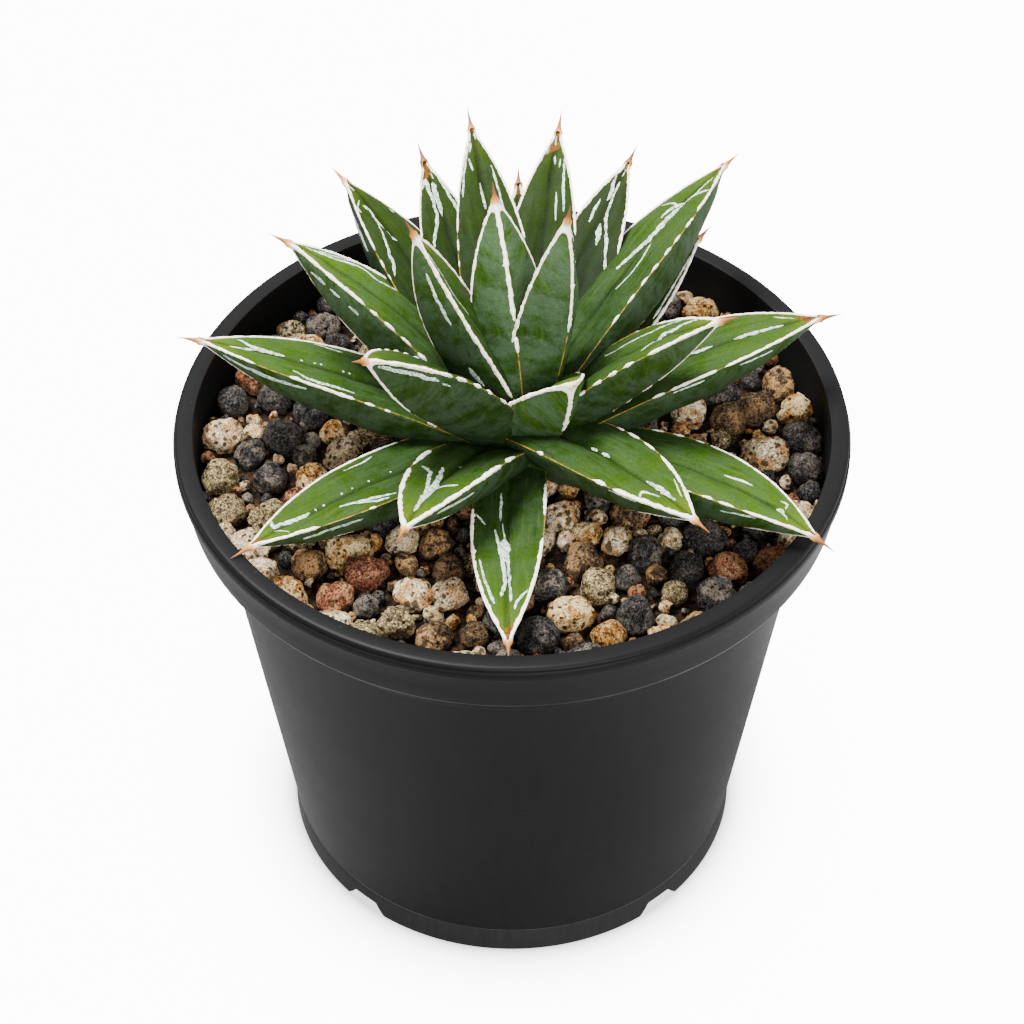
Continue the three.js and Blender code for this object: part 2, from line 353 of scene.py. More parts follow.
def pot_material():
    """Moulded black plastic: slightly greyed, with fine texture, rub marks and dust, thin painted
    highlights along its edges, painted shade on the inner wall and painted light that makes it lighter
    towards the bottom.
    """
    nodes = Nodes("pot_plastic")
    place = nodes.place()
    cloud = nodes.noise(place, 0.03, 4.0, 0.6)
    grain = nodes.noise(place, 3.2, 2.0, 0.6)
    speck = nodes.ramp(nodes.noise(place, 0.8, 2.0, 0.5), 0.74, 0.8)
    rub = nodes.ramp(nodes.noise(nodes.place((0.12, 0.12, 1.6)), 0.35, 4.0, 0.75, 0.6), 0.66, 0.78)
    base = nodes.mix(cloud, (0.0038, 0.0038, 0.0041), (0.0056, 0.0057, 0.0060))
    worn = nodes.mix(nodes.times(rub, 0.14), base, (0.022, 0.022, 0.023))
    dust_wear_and_painted_light = nodes.mix(nodes.times(speck, 0.3), worn, (0.04, 0.036, 0.032))
    axes = nodes.axes(place)
    radius = nodes.math("SQRT", nodes.plus(nodes.times(axes[0], axes[0]),
                                           nodes.times(axes[1], axes[1])))
    inside = nodes.times(nodes.ramp(radius, 71.3, 70.6), nodes.ramp(axes[2], 104.0, 106.0))
    stain = nodes.ramp(nodes.noise(place, 0.12, 5.0, 0.7), 0.4, 0.65)
    soiled = nodes.times(inside, nodes.times(nodes.ramp(axes[2], 121.0, 110.0), stain))
    dust_wear_and_painted_light = nodes.mix(nodes.times(soiled, 0.4), dust_wear_and_painted_light, (0.007, 0.0045, 0.0025))
    # How bright the painted highlight lines are: patchy, and brighter towards the left and right sides as a
    # painted highlight.
    rub_and_side_highlight = nodes.blend(nodes.ramp(nodes.noise(place, 0.09, 3.0, 0.6), 0.35, 0.65), 0.55, 1.0)
    rub_and_side_highlight = nodes.times(rub_and_side_highlight, nodes.blend(
        nodes.ramp(nodes.math("ABSOLUTE", axes[0]), 5.0, 50.0), 0.3, 1.0))
    # Each line is a painted highlight.
    for height, least, reach, level in PAINTED_HIGHLIGHT_LINES:
        away = nodes.math("ABSOLUTE", nodes.minus(axes[2], height))
        outside = nodes.ramp(radius, least, least + 0.3)
        line = nodes.times(nodes.ramp(away, reach, 0.3 * reach), outside)
        dust_wear_and_painted_light = nodes.mix(nodes.times(line, rub_and_side_highlight), dust_wear_and_painted_light, (level,) * 3)
    rough = nodes.blend(inside, nodes.blend(cloud, 0.38, 0.50), 0.85)
    # Lighter grey below the foot line.
    dust_wear_and_painted_light = nodes.mix(nodes.ramp(axes[2], 6.9, 6.5), dust_wear_and_painted_light, (0.012, 0.012, 0.0125))
    streak = nodes.noise(nodes.place((1.0, 1.0, 0.06)), 0.5, 4.0, 0.7)
    dust_wear_and_painted_light = nodes.scale(dust_wear_and_painted_light, nodes.blend(streak, 0.7, 1.3))
    # Painted light: the plastic is painted lighter towards the bottom and darker towards the rim.
    dust_wear_and_painted_light = nodes.scale(dust_wear_and_painted_light, nodes.blend(nodes.ramp(axes[2], 100.0, 10.0), 0.8, 1.5))
    # Painted shade: the inner wall is painted darker.
    dust_wear_and_painted_light = nodes.scale(dust_wear_and_painted_light, nodes.blend(inside, 1.0, 0.35))
    normal = nodes.bump(grain, 0.3, 0.06)
    return nodes.finish(dust_wear_and_painted_light, rough, normal, Specular_IOR_Level=0.08)


def cutter(name, build):
    mesh = bpy.data.meshes.new(name)
    form = bmesh.new()
    build(form)
    bmesh.ops.recalc_face_normals(form, faces=form.faces)
    form.to_mesh(mesh)
    form.free()
    piece = bpy.data.objects.new(name, mesh)
    bpy.context.collection.objects.link(piece)
    return piece


def notch_cutter(azimuth):
    def build(form):
        wide = NOTCH_FOOT_WIDTH / 2 + 0.4
        narrow = NOTCH_TOP_WIDTH / 2
        turn = Matrix.Rotation(math.radians(azimuth), 3, "Z")
        side = [(wide, -1.0), (wide - 0.2, 0.0), (narrow + 0.45, NOTCH_HEIGHT - NOTCH_ROUND),
                (narrow + 0.05, NOTCH_HEIGHT - 0.4 * NOTCH_ROUND), (narrow - 0.4, NOTCH_HEIGHT - 0.1),
                (narrow - NOTCH_ROUND, NOTCH_HEIGHT)]
        outline = side + [(-x, z) for x, z in reversed(side)]
        near, far = [[form.verts.new(turn @ Vector((x, -y, z)) * MM) for x, z in outline]
                     for y in (FOOT_INNER_RADIUS - 3, FOOT_RADIUS + 4)]
        form.faces.new(near)
        form.faces.new(far)
        for i in range(len(outline)):
            form.faces.new([near[i - 1], near[i], far[i], far[i - 1]])
    return cutter(f"notch_{azimuth}", build)


def drain_cutter(azimuth, circle):
    def build(form):
        a = math.radians(azimuth)
        at = Matrix.Translation((circle * MM * math.sin(a), -circle * MM * math.cos(a),
                                 (FLOOR_TOP - FLOOR_THICKNESS / 2) * MM))
        bmesh.ops.create_cone(form, cap_ends=True, segments=DRAIN_SIDES, radius1=DRAIN_RADIUS * MM,
                              radius2=DRAIN_RADIUS * MM, depth=4 * FLOOR_THICKNESS * MM, matrix=at)
    return cutter(f"drain_{azimuth}_{int(circle)}", build)


def build_pot():
    under = [(FOOT_INNER_RADIUS, 0.0), (FOOT_INNER_RADIUS - 0.8, FLOOR_TOP - FLOOR_THICKNESS)]
    profile = under[::-1] + POT_OUTER + POT_INNER
    points = lathe_points(profile, POT_SIDES)
    faces = grid_faces(len(profile), POT_SIDES, True)
    floor_low = len(points)
    points.append((0, 0, FLOOR_TOP - FLOOR_THICKNESS))
    points.append((0, 0, FLOOR_TOP))
    last = (len(profile) - 1) * POT_SIDES
    for i in range(POT_SIDES):
        j = (i + 1) % POT_SIDES
        faces.append((floor_low, j, i))
        faces.append((floor_low + 1, last + i, last + j))
    pot = make_piece("pot_shell", points, faces, [pot_material()], "pot")
    cutters = [notch_cutter(a) for a in NOTCH_AZIMUTHS]
    cutters += [drain_cutter(a, DRAIN_CIRCLE) for a in NOTCH_AZIMUTHS] + [drain_cutter(0, 0)]
    for tool in cutters:
        cut = pot.modifiers.new(tool.name, "BOOLEAN")
        cut.operation = "DIFFERENCE"
        cut.solver = "EXACT"
        cut.object = tool
    apply_modifiers(pot)
    for tool in cutters:
        bpy.data.objects.remove(tool)
    pot.data.shade_smooth()
    pot.data.set_sharp_from_angle(angle=math.radians(SHARP_ANGLE))


def apply_modifiers(piece):
    """Bakes a piece's modifiers into its own mesh."""
    bpy.context.view_layer.update()
    shown = piece.evaluated_get(bpy.context.evaluated_depsgraph_get())
    mesh = bpy.data.meshes.new_from_object(shown)
    piece.modifiers.clear()
    old = piece.data
    piece.data = mesh
    bpy.data.meshes.remove(old)


# ---------------------------------------------------------------- leaves
SPINE_SHARE = 0.07
WIDEST_AT = 0.38
BASE_WIDTH_SHARE = 0.8
TAPER_POWER = 2.5
KEEL_SHARE = 1.05
GROOVE_SHARE = 0.17
CROWN_SHARE = 0.06
FLANK_POWER = 1.36
CAP_RADIUS = 0.9
CAP_FORK = 5.5
CAP_ARCH = 3.2
CAP_TOP_SHARE = 0.3
CAP_ROWS = 9
SPINE_ROWS = 14
SKIN_END = 0.932
MARCH_STEPS = 60
LEAF_RINGS = 84
LOWEST_DASH = 0.26
SEAM_START = 0.06
SEAM_RADIUS = 0.13
TOP_STEPS = 20
FLANK_STEPS = 13

# As in the solids: compass direction (0 faces -Y, 90 faces +X), height of the root above the rim,
# the root's distance from the plant's axis, rise at the root, change of rise towards the tip, length,
# half width, roll about the midline and sideways bend. Degrees and millimetres, outer whorl first.
LEAVES = {
    "leaf_01": (-6, -6, 4, 14, -22, 67, 8, 0, 9),
    "leaf_02": (63, -5, 6, 29, -47, 77, 11.5, -16, -13),
    "leaf_03": (-55, -2, 5, 14, -24, 71, 10.5, 14, 1),
    "leaf_04": (102, -3, 6, 35, -35, 72, 12, -12, -1),
    "leaf_05": (-96, -4, 6, 30, -24, 74, 11, 15, 2),
    "leaf_06": (180, -9, 5, 29, -10, 68, 6.5, 0, 0),
    "leaf_07": (137, -8, 5, 31, -16, 65, 8, -5, -1),
    "leaf_08": (-144, -4, 5, 46, -28, 71, 12, 24, 11),
    "leaf_09": (140, 3, 5, 38, -38, 79, 12, -32, -1),
    "leaf_10": (39, 0, 2, 32, -45, 61, 10.5, -10, 5),
    "leaf_11": (-31, -5, 4, 43, -49, 58, 10, 14, 9),
    "leaf_12": (-172, -6, 4, 39, -13, 77, 8.5, 0, 4),
    "leaf_13": (173, -6, 4, 38, -11, 76, 8.5, 0, -3),
    "leaf_14": (157, -4, 4, 40, -25, 72, 8, -1, -2),
    "leaf_15": (-158, -5, 4, 36, -8, 70, 8.5, 2, -1),
    "leaf_16": (-113, -2, 5, 58, -41, 68, 11.5, 22, 9),
    "leaf_17": (83, -1, 4, 62, -42, 59, 9.5, -13, -4),
    "leaf_18": (-58, 2, 3, 62, -35, 61, 11, 12, 17),
    "leaf_19": (-173, -1, 2, 68, -10, 44, 8, 0, 0),
    "leaf_20": (60, -5, -8, 57, -20, 44, 11, -4, -35),
    "leaf_21": (-99, 2, -3, 66, -8, 59, 10.5, 17, -1),
    "leaf_22": (124, 0, 0, 77, -1, 57, 8, -85, 1),
    "leaf_23": (17, -2, 2, 107, 9, 59, 8.5, -7, 0),
}


class Leaf:
    """A keeled leaf's midline and skin. share runs from 0 at the root to 1 at the spine's tip."""

    def __init__(self, name):
        (self.azimuth, lift, reach, self.rise, self.curl, self.length, self.half_width, self.roll,
         self.swing) = LEAVES[name]
        self.name = name
        turn = math.radians(self.azimuth)
        point = Vector((PLANT_X + reach * math.sin(turn), -reach * math.cos(turn), RIM_HEIGHT + lift))
        self.march = [point.copy()]
        for step in range(MARCH_STEPS):
            point = point + self.heading((step + 0.5) / MARCH_STEPS)[0] * (self.length / MARCH_STEPS)
            self.march.append(point.copy())

    def heading(self, share):
        """Along, up and side axes."""
        a = math.radians(self.azimuth + self.swing * share)
        e = math.radians(self.rise + self.curl * share)
        along = Vector((math.sin(a) * math.cos(e), -math.cos(a) * math.cos(e), math.sin(e)))
        up = Vector((-math.sin(a) * math.sin(e), math.cos(a) * math.sin(e), math.cos(e)))
        up = Matrix.Rotation(math.radians(self.roll), 3, along) @ up
        return along, up, along.cross(up)

    def centre(self, share):
        at = min(max(share, 0.0), 1.0) * MARCH_STEPS
        low = min(int(at), MARCH_STEPS - 1)
        return self.march[low].lerp(self.march[low + 1], at - low)

    def width(self, share):
        """Half width at a share of the length."""
        x = min(share / (1 - SPINE_SHARE), 1.0)
        if x <= WIDEST_AT:
            grown = math.sin(x / WIDEST_AT * math.pi / 2)
            return self.half_width * (BASE_WIDTH_SHARE + (1 - BASE_WIDTH_SHARE) * grown)
        taper = 1 - (1 - (1 - x) / (1 - WIDEST_AT)) ** TAPER_POWER
        return ((self.half_width * taper) ** 4 + CAP_RADIUS ** 4) ** 0.25

    def skin(self, share, face, across):
        """A point of the skin. face 0 is the upper face, with across from -1 to 1 between the margins;
        face 1 and -1 are the flanks below, with across from 0 at the margin to 1 at the keel."""
        _, up, side = self.heading(share)
        w = self.width(share)
        centre = self.centre(share)
        if face == 0:
            crease = GROOVE_SHARE * math.exp(-abs(across) / 0.22)
            lift = w * (CROWN_SHARE * (1 - across * across) - crease * (1 - across * across))
            return centre + side * (across * w) + up * lift
        angle = across * math.pi / 2
        out = w * max(math.cos(angle), 0.0) ** (2 / FLANK_POWER)
        down = KEEL_SHARE * w * max(math.sin(angle), 0.0) ** (2 / FLANK_POWER)
        return centre + side * (face * out) - up * down

    def normal(self, share, face, across):
        """The skin's outward direction."""
        step = 0.01
        a = self.skin(share - step, face, across)
        b = self.skin(share + step, face, across)
        low, high = (-1.0, 1.0) if face == 0 else (0.0, 1.0)
        c = self.skin(share, face, max(across - 0.03, low))
        d = self.skin(share, face, min(across + 0.03, high))
        n = (b - a).cross(d - c)
        if n.length == 0:
            return self.heading(share)[1]
        n.normalize()
        outward = self.skin(share, face, across) - (
            self.centre(share) - self.heading(share)[1] * (0.4 * self.width(share)))
        return n if n.dot(outward) > 0 else -n

    def ridge_gap(self, share, face, across):
        """Distance along the skin to the nearest margin or keel, in millimetres."""
        edge = (1 - abs(across)) if face == 0 else min(across, 1 - across)
        return edge * self.width(share)

    def surface(self, share, face, across, lift=0.0):
        """A point of the living, slightly uneven skin, raised by lift."""
        p = self.skin(share, face, across)
        wave = noise.noise(p * 0.11 + Vector((self.azimuth, 0, 0))) * 0.45
        wave += noise.noise(p * 0.35) * 0.16
        calm = smooth_step(self.ridge_gap(share, face, across), 0.0, 1.6)
        return p + self.normal(share, face, across) * (wave * calm + lift)

    def tip_point(self, share, face, across):
        """A point of the cap and the needle that it draws out into."""
        _, up, side = self.heading(share)
        ease = smooth_step(share, 1 - SPINE_SHARE - 0.04, 1 - SPINE_SHARE + 0.012)
        skin = self.skin(share, face, across)
        if ease == 0:
            return skin
        t = min(max((share - 1 + SPINE_SHARE) / SPINE_SHARE, 0.0), 1.0)
        radius = CAP_RADIUS * (0.42 * math.exp(-t / 0.14) + 0.56 * (1 - t) ** 1.1) + 0.02
        angle = math.acos(across) if face == 0 else (math.pi + across * math.pi / 2 if face < 0
                                                     else -across * math.pi / 2)
        hub = self.centre(share) - up * (0.3 * CAP_RADIUS * (1 - t))
        needle = hub + side * (radius * math.cos(angle)) + up * (radius * math.sin(angle))
        return skin.lerp(needle, ease)


def leaf_ring():
    """(face, across) round a leaf, from the right margin over the top and back under the keel."""
    top = [math.cos(math.pi * i / TOP_STEPS) for i in range(TOP_STEPS)]
    ring = [(0, v) for v in top]
    ring += [(-1, i / FLANK_STEPS) for i in range(FLANK_STEPS)]
    ring += [(1, 1 - i / FLANK_STEPS) for i in range(FLANK_STEPS)]
    return ring


SKIN_KEYS = ("along", "tip", "top", "gap", "burn", "level")


def leaf_skin(leaf, patch):
    """Points, faces, attributes and UV of a leaf's green body. patch is the length of the brown
    patch where the upper face meets the cap."""
    ring = leaf_ring()
    points, uv = [], []
    # Each leaf's painted light and shade level.
    level = LEAF_PAINTED_LIGHT.get(leaf.name, 1.0)
    attributes = {key: [] for key in SKIN_KEYS}
    for row in range(LEAF_RINGS + 1):
        share = (row / LEAF_RINGS) ** 0.9 * SKIN_END
        w = leaf.width(share)
        to_cap = (1 - SPINE_SHARE - share) * leaf.length
        for face, across in ring:
            points.append(leaf.surface(share, face, across))
            flat = across * w if face == 0 else face * (2.3 - across) * w
            uv.append((share * leaf.length, flat))
            attributes["along"].append(share)
            attributes["tip"].append(to_cap)
            attributes["top"].append(1.0 if face == 0 else 0.0)
            attributes["gap"].append(leaf.ridge_gap(share, face, across))
            reach = patch * (1 - 0.35 * across)
            attributes["burn"].append(smooth_step(reach - to_cap, -0.5, 0.7) if face == 0 else 0.0)
            attributes["level"].append(level)
    faces = grid_faces(LEAF_RINGS + 1, len(ring), True)
    for first, at, flip in ((0, 0.0, True), (LEAF_RINGS * len(ring), SKIN_END, False)):
        hub = len(points)
        points.append(leaf.centre(at))
        uv.append((at * leaf.length, 0.0))
        for key, value in zip(SKIN_KEYS, (at, 0.0, 1.0, 0.0, 0.0, level)):
            attributes[key].append(value)
        for i in range(len(ring)):
            j = (i + 1) % len(ring)
            faces.append((hub, first + j, first + i) if flip else (hub, first + i, first + j))
    return points, faces, attributes, uv


RIDGES = {"right": (0, 1.0), "left": (0, -1.0), "keel": (1, 1.0)}


def ridge_frame(leaf, ridge, share):
    """A ridge line's point, outward direction and the direction along the skin across it."""
    _, up, side = leaf.heading(share)
    face, across = RIDGES[ridge]
    point = leaf.skin(share, face, across)
    if ridge == "keel":
        return point, -up, side
    return point, side * across, up


def bead(leaf, ridge, start, end, radius, into_cap, seed, rough=0.42, sides=9):
    """A horny bead along a ridge from share start to end, pointed at its ends or sinking into the
    cap. Returns points, faces and each point's share of the bead's tan edge."""
    length = (end - start) * leaf.length
    rings = max(6, int(length / 0.42))
    points, tone = [], []
    for row in range(rings + 1):
        share = start + (end - start) * row / rings
        point, outward, lateral = ridge_frame(leaf, ridge, share)
        at = share * leaf.length
        lump = 1 + rough * noise.noise(Vector((at * 0.55, seed, 0.0)))
        lump += 1.1 * rough * noise.noise(Vector((at * 1.5, seed, 3.0)))
        tooth = max(noise.noise(Vector((at * 2.1, seed, 7.0))) - 0.08, 0.0)
        tail = (row / rings) * length
        head = length - tail
        ends = min(tail / 1.7, 1.0) ** 0.7
        sunk = 1 - smooth_step(head, 0.0, 2.2) if into_cap else 0.0
        ends *= 1 - 0.6 * sunk if into_cap else min(head / 1.2, 1.0) ** 0.7
        swell = 1 + 0.3 * math.exp(-head / 3.5) if into_cap else 1.0
        wide = max(radius * lump * ends * swell, 0.03)
        tall = max(min(0.62 * radius * lump, wide) * min(ends + 0.2, 1.0), 0.02)
        spike = 3.4 * rough * radius * tooth * ends
        sway = 0.3 * radius * noise.noise(Vector((at * 0.4, seed, 11.0)))
        lean = 0.35 * wide if ridge != "keel" else 0.0
        hub = point - outward * (0.25 * radius + lean + 0.5 * sunk * radius) + lateral * sway
        for i in range(sides):
            a = 2 * math.pi * i / sides
            across = wide + spike * max(math.sin(a + seed), 0.0)
            if ridge == "keel":
                offset = lateral * (across * math.sin(a)) + outward * (tall * math.cos(a))
            else:
                offset = outward * (across * math.cos(a)) + lateral * (tall * math.sin(a))
            points.append(hub + offset)
            tone.append(abs(math.sin(a)) if ridge == "keel" else abs(math.cos(a)))
    faces = grid_faces(rings + 1, sides, True)
    for first, share in ((0, start), (rings * sides, end)):
        centre_point, outward, _ = ridge_frame(leaf, ridge, share)
        hub = len(points)
        points.append(centre_point - outward * 0.4 * radius)
        tone.append(0.5)
        for i in range(sides):
            faces.append((hub, first + (i + 1) % sides, first + i))
    return points, faces, tone, [0.0] * len(points)


def cap_and_spine(leaf, cap, fork, age, rust):
    """One skin of horn from the arches at the cap's edge, down the margins and the keel in forks, and
    out to the spine's point. Its tone is the tan edge and its age runs from cream to brown."""
    ring = leaf_ring()
    rows = CAP_ROWS + SPINE_ROWS
    cap_end = 1 - SPINE_SHARE
    points, tone, ages = [], [], []
    for row in range(rows + 1):
        for face, across in ring:
            if face == 0:
                short = CAP_TOP_SHARE * cap
                reach = short + (cap + fork - short) * abs(across) ** 5
            else:
                reach = cap + fork * abs(2 * across - 1) ** CAP_ARCH
            start = cap_end - reach / leaf.length
            if row <= CAP_ROWS:
                share = start + (cap_end - start) * row / CAP_ROWS
            else:
                share = cap_end + SPINE_SHARE * (row - CAP_ROWS) / SPINE_ROWS
            lift = 0.2 * smooth_step(row, -0.6, 1.6) - 0.05
            lift *= 1 - smooth_step(share, cap_end - 0.01, cap_end + 0.01)
            points.append(leaf.tip_point(share, face, across) + leaf.normal(share, face, across) * lift)
            tone.append(1 - smooth_step(row, 0, 2.0))
            along_spine = smooth_step(share, cap_end - 0.03, cap_end + 0.45 * SPINE_SHARE)
            ages.append(min(age + rust * (0.9 * along_spine ** 0.8 + 0.3 * along_spine), 1.0))
    faces = grid_faces(rows + 1, len(ring), True)
    last = rows * len(ring)
    points.append(leaf.centre(1.0) + leaf.heading(1.0)[0] * 0.05)
    tone.append(0.0)
    ages.append(min(age + rust, 1.0))
    faces += [(last + (i + 1) % len(ring), last + i, len(points) - 1) for i in range(len(ring))]
    return points, faces, tone, ages


def smooth_line(stops, steps):
    """A Catmull-Rom curve through the stops."""
    line = []
    ends = [stops[0]] + list(stops) + [stops[-1]]
    for i in range(1, len(ends) - 2):
        p0, p1, p2, p3 = (np.array(ends[i + k - 1], dtype=float) for k in range(4))
        for step in range(steps):
            t = step / steps
            line.append(0.5 * (2 * p1 + (p2 - p0) * t + (2 * p0 - 5 * p1 + 4 * p2 - p3) * t * t
                               + (3 * p1 - p0 - 3 * p2 + p3) * t ** 3))
    line.append(np.array(ends[-2], dtype=float))
    return line


def print_mark(leaf, face, stops, seed):
    """A thin waxy print on the skin, through (share, across, width in millimetres)."""
    reach = sum(math.hypot((b[0] - a[0]) * leaf.length, (b[1] - a[1]) * leaf.width(a[0]))
                for a, b in zip(stops, stops[1:]))
    line = smooth_line(stops, max(4, int(reach / len(stops) / 0.35)))
    columns = 5
    points, tone = [], []
    for i, (share, across, width) in enumerate(line):
        w = leaf.width(share)
        ahead = line[min(i + 1, len(line) - 1)] - line[max(i - 1, 0)]
        run = np.array([ahead[0] * leaf.length, ahead[1] * w])
        run = run / (np.linalg.norm(run) or 1)
        taper = min(i + 0.4, len(line) - 1 - i + 0.4, 3.0) / 3.0
        at = i * 0.5
        for k in range(columns):
            q = 2 * k / (columns - 1) - 1
            jag = 1 + 0.8 * noise.noise(Vector((at * 0.7, seed + (q > 0) * 5, 0)))
            jag += 0.5 * noise.noise(Vector((at * 1.9, seed + (q > 0) * 5, 9)))
            out = q * 0.5 * width * taper ** 0.6 * jag
            s = share - run[1] * out / leaf.length
            v = across + run[0] * out / w
            v = min(max(v, -1.0), 1.0) if face == 0 else min(max(v, 0.0), 1.0)
            points.append(leaf.surface(s, face, v, 0.09 - 0.07 * q * q))
            tone.append(abs(q))
    return points, grid_faces(len(line), columns, False), tone, [0.0] * len(points)


# The white bead of each ridge: the share of the length where its whole run to the cap starts, its
# half width, and the dashes below that. "right" is the margin on the side axis. Ridges without dashes
# here get them by a rule.
DEFAULT_EDGE = (0.52, 0.4, None)
EDGES = {
    "leaf_01": {"right": (0.34, 0.36, ()), "left": (0.48, 0.42, ((0.19, 0.37),))},
    "leaf_02": {"right": (0.73, 0.45, ((0.66, 0.71), (0.61, 0.65), (0.57, 0.59))),
                "left": (0.48, 0.3, None), "keel": (0.5, 0.35, None)},
    "leaf_03": {"left": (0.73, 0.48, ((0.55, 0.58), (0.3, 0.36))), "right": (0.29, 0.32, None),
                "keel": (0.45, 0.26, None)},
    "leaf_04": {"right": (0.59, 0.4, ((0.41, 0.57), (0.35, 0.4))), "left": (0.6, 0.3, None),
                "keel": (0.55, 0.34, None)},
    "leaf_05": {"left": (0.75, 0.42, ((0.44, 0.65), (0.38, 0.42), (0.33, 0.36))),
                "right": (0.42, 0.34, None), "keel": (0.45, 0.3, None)},
    "leaf_08": {"left": (0.66, 0.34, ((0.59, 0.63), (0.55, 0.58))), "right": (0.62, 0.24, None)},
    "leaf_09": {"right": (0.69, 0.39, ((0.62, 0.67), (0.56, 0.6), (0.51, 0.55), (0.45, 0.49),
                                       (0.4, 0.44), (0.34, 0.38), (0.27, 0.31))),
                "keel": (0.5, 0.22, None)},
    "leaf_10": {"right": (0.65, 0.62, ((0.57, 0.63), (0.3, 0.34))), "left": (0.6, 0.4, None),
                "keel": (0.58, 0.42, None)},
    "leaf_11": {"right": (0.55, 0.55, ((0.35, 0.52),)), "left": (0.44, 0.55, ((0.32, 0.41),)),
                "keel": (0.47, 0.31, None)},
    "leaf_12": {"left": (0.6, 0.25, None), "right": (0.55, 0.29, None)},
    "leaf_13": {"left": (0.58, 0.28, None), "right": (0.6, 0.28, None)},
    "leaf_14": {"right": (0.6, 0.33, ((0.5, 0.56), (0.42, 0.47), (0.34, 0.39)))},
    "leaf_15": {"left": (0.66, 0.25, None), "right": (0.62, 0.32, None)},
    "leaf_16": {"left": (0.62, 0.55, ((0.57, 0.61), (0.5, 0.55), (0.43, 0.48), (0.36, 0.41))),
                "right": (0.44, 0.48, None), "keel": (0.5, 0.33, None)},
    "leaf_17": {"right": (0.66, 0.6, ((0.56, 0.61), (0.49, 0.54), (0.42, 0.47), (0.34, 0.39))),
                "left": (0.62, 0.45, ((0.52, 0.54), (0.47, 0.48), (0.43, 0.44))),
                "keel": (0.56, 0.36, None)},
    "leaf_18": {"left": (0.61, 0.68, ((0.54, 0.6), (0.46, 0.51), (0.38, 0.43), (0.28, 0.34))),
                "right": (0.66, 0.44, None), "keel": (0.56, 0.46, ((0.35, 0.44), (0.24, 0.27)))},
    "leaf_20": {"right": (0.58, 0.68, ((0.5, 0.56), (0.42, 0.48), (0.33, 0.38))),
                "left": (0.66, 0.44, None), "keel": (0.6, 0.51, ())},
    "leaf_21": {"right": (0.24, 0.52, ()), "left": (0.22, 0.68, ()), "keel": (0.45, 0.33, ())},
    "leaf_22": {"right": (0.32, 0.7, ()), "left": (0.38, 0.59, ()), "keel": (0.5, 0.39, ())},
    "leaf_23": {"right": (0.5, 0.68, ((0.42, 0.47),)), "left": (0.58, 0.59, ()),
                "keel": (0.5, 0.5, ((0.38, 0.46),))},
}

# Each leaf's end: the cap's length below, how brown the cap is, how much browner its spine gets, and
# the length of the brown patch on the upper face.
DEFAULT_END = (1.3, 0.0, 0.6, 1.5)
ENDS = {
    "leaf_01": (1.3, 0.0, 0.6, 4.2), "leaf_02": (1.4, 0.05, 0.7, 2.0),
    "leaf_03": (1.8, 0.0, 0.6, 3.0), "leaf_04": (1.3, 0.1, 0.7, 4.5),
    "leaf_05": (1.3, 0.0, 0.6, 3.0), "leaf_06": (1.2, 0.4, 0.4, 3.0),
    "leaf_07": (1.2, 0.1, 0.7, 2.5), "leaf_08": (1.3, 0.0, 0.5, 1.5),
    "leaf_09": (1.3, 0.0, 0.6, 2.5), "leaf_10": (1.7, 0.0, 0.6, 1.0),
    "leaf_11": (1.7, 0.0, 0.6, 1.0), "leaf_12": (1.2, 0.05, 0.7, 1.0),
    "leaf_13": (1.2, 0.0, 0.7, 5.0), "leaf_14": (1.2, 0.4, 0.5, 2.5),
    "leaf_15": (1.2, 0.55, 0.4, 4.0), "leaf_16": (1.9, 0.0, 0.65, 0.5),
    "leaf_17": (1.9, 0.0, 0.7, 0.5), "leaf_18": (2.2, 0.0, 0.6, 0.5),
    "leaf_20": (2.2, 0.0, 0.2, 0.0), "leaf_21": (2.4, 0.0, 0.75, 0.0),
    "leaf_22": (2.6, 0.0, 0.8, 0.0), "leaf_23": (2.6, 0.0, 0.8, 0.0),
}

# How light each leaf's green is painted, as painted light and shade: the back leaves are painted the
# darkest, and a leaf not named here is 1.
LEAF_PAINTED_LIGHT = {
    "leaf_02": 1.15, "leaf_05": 1.1, "leaf_06": 0.6, "leaf_07": 0.5, "leaf_08": 0.5, "leaf_12": 0.5,
    "leaf_13": 0.46, "leaf_14": 0.3, "leaf_15": 0.44, "leaf_16": 1.25, "leaf_18": 0.85, "leaf_19": 0.45,
    "leaf_20": 1.4, "leaf_22": 1.2, "leaf_23": 1.2,
}

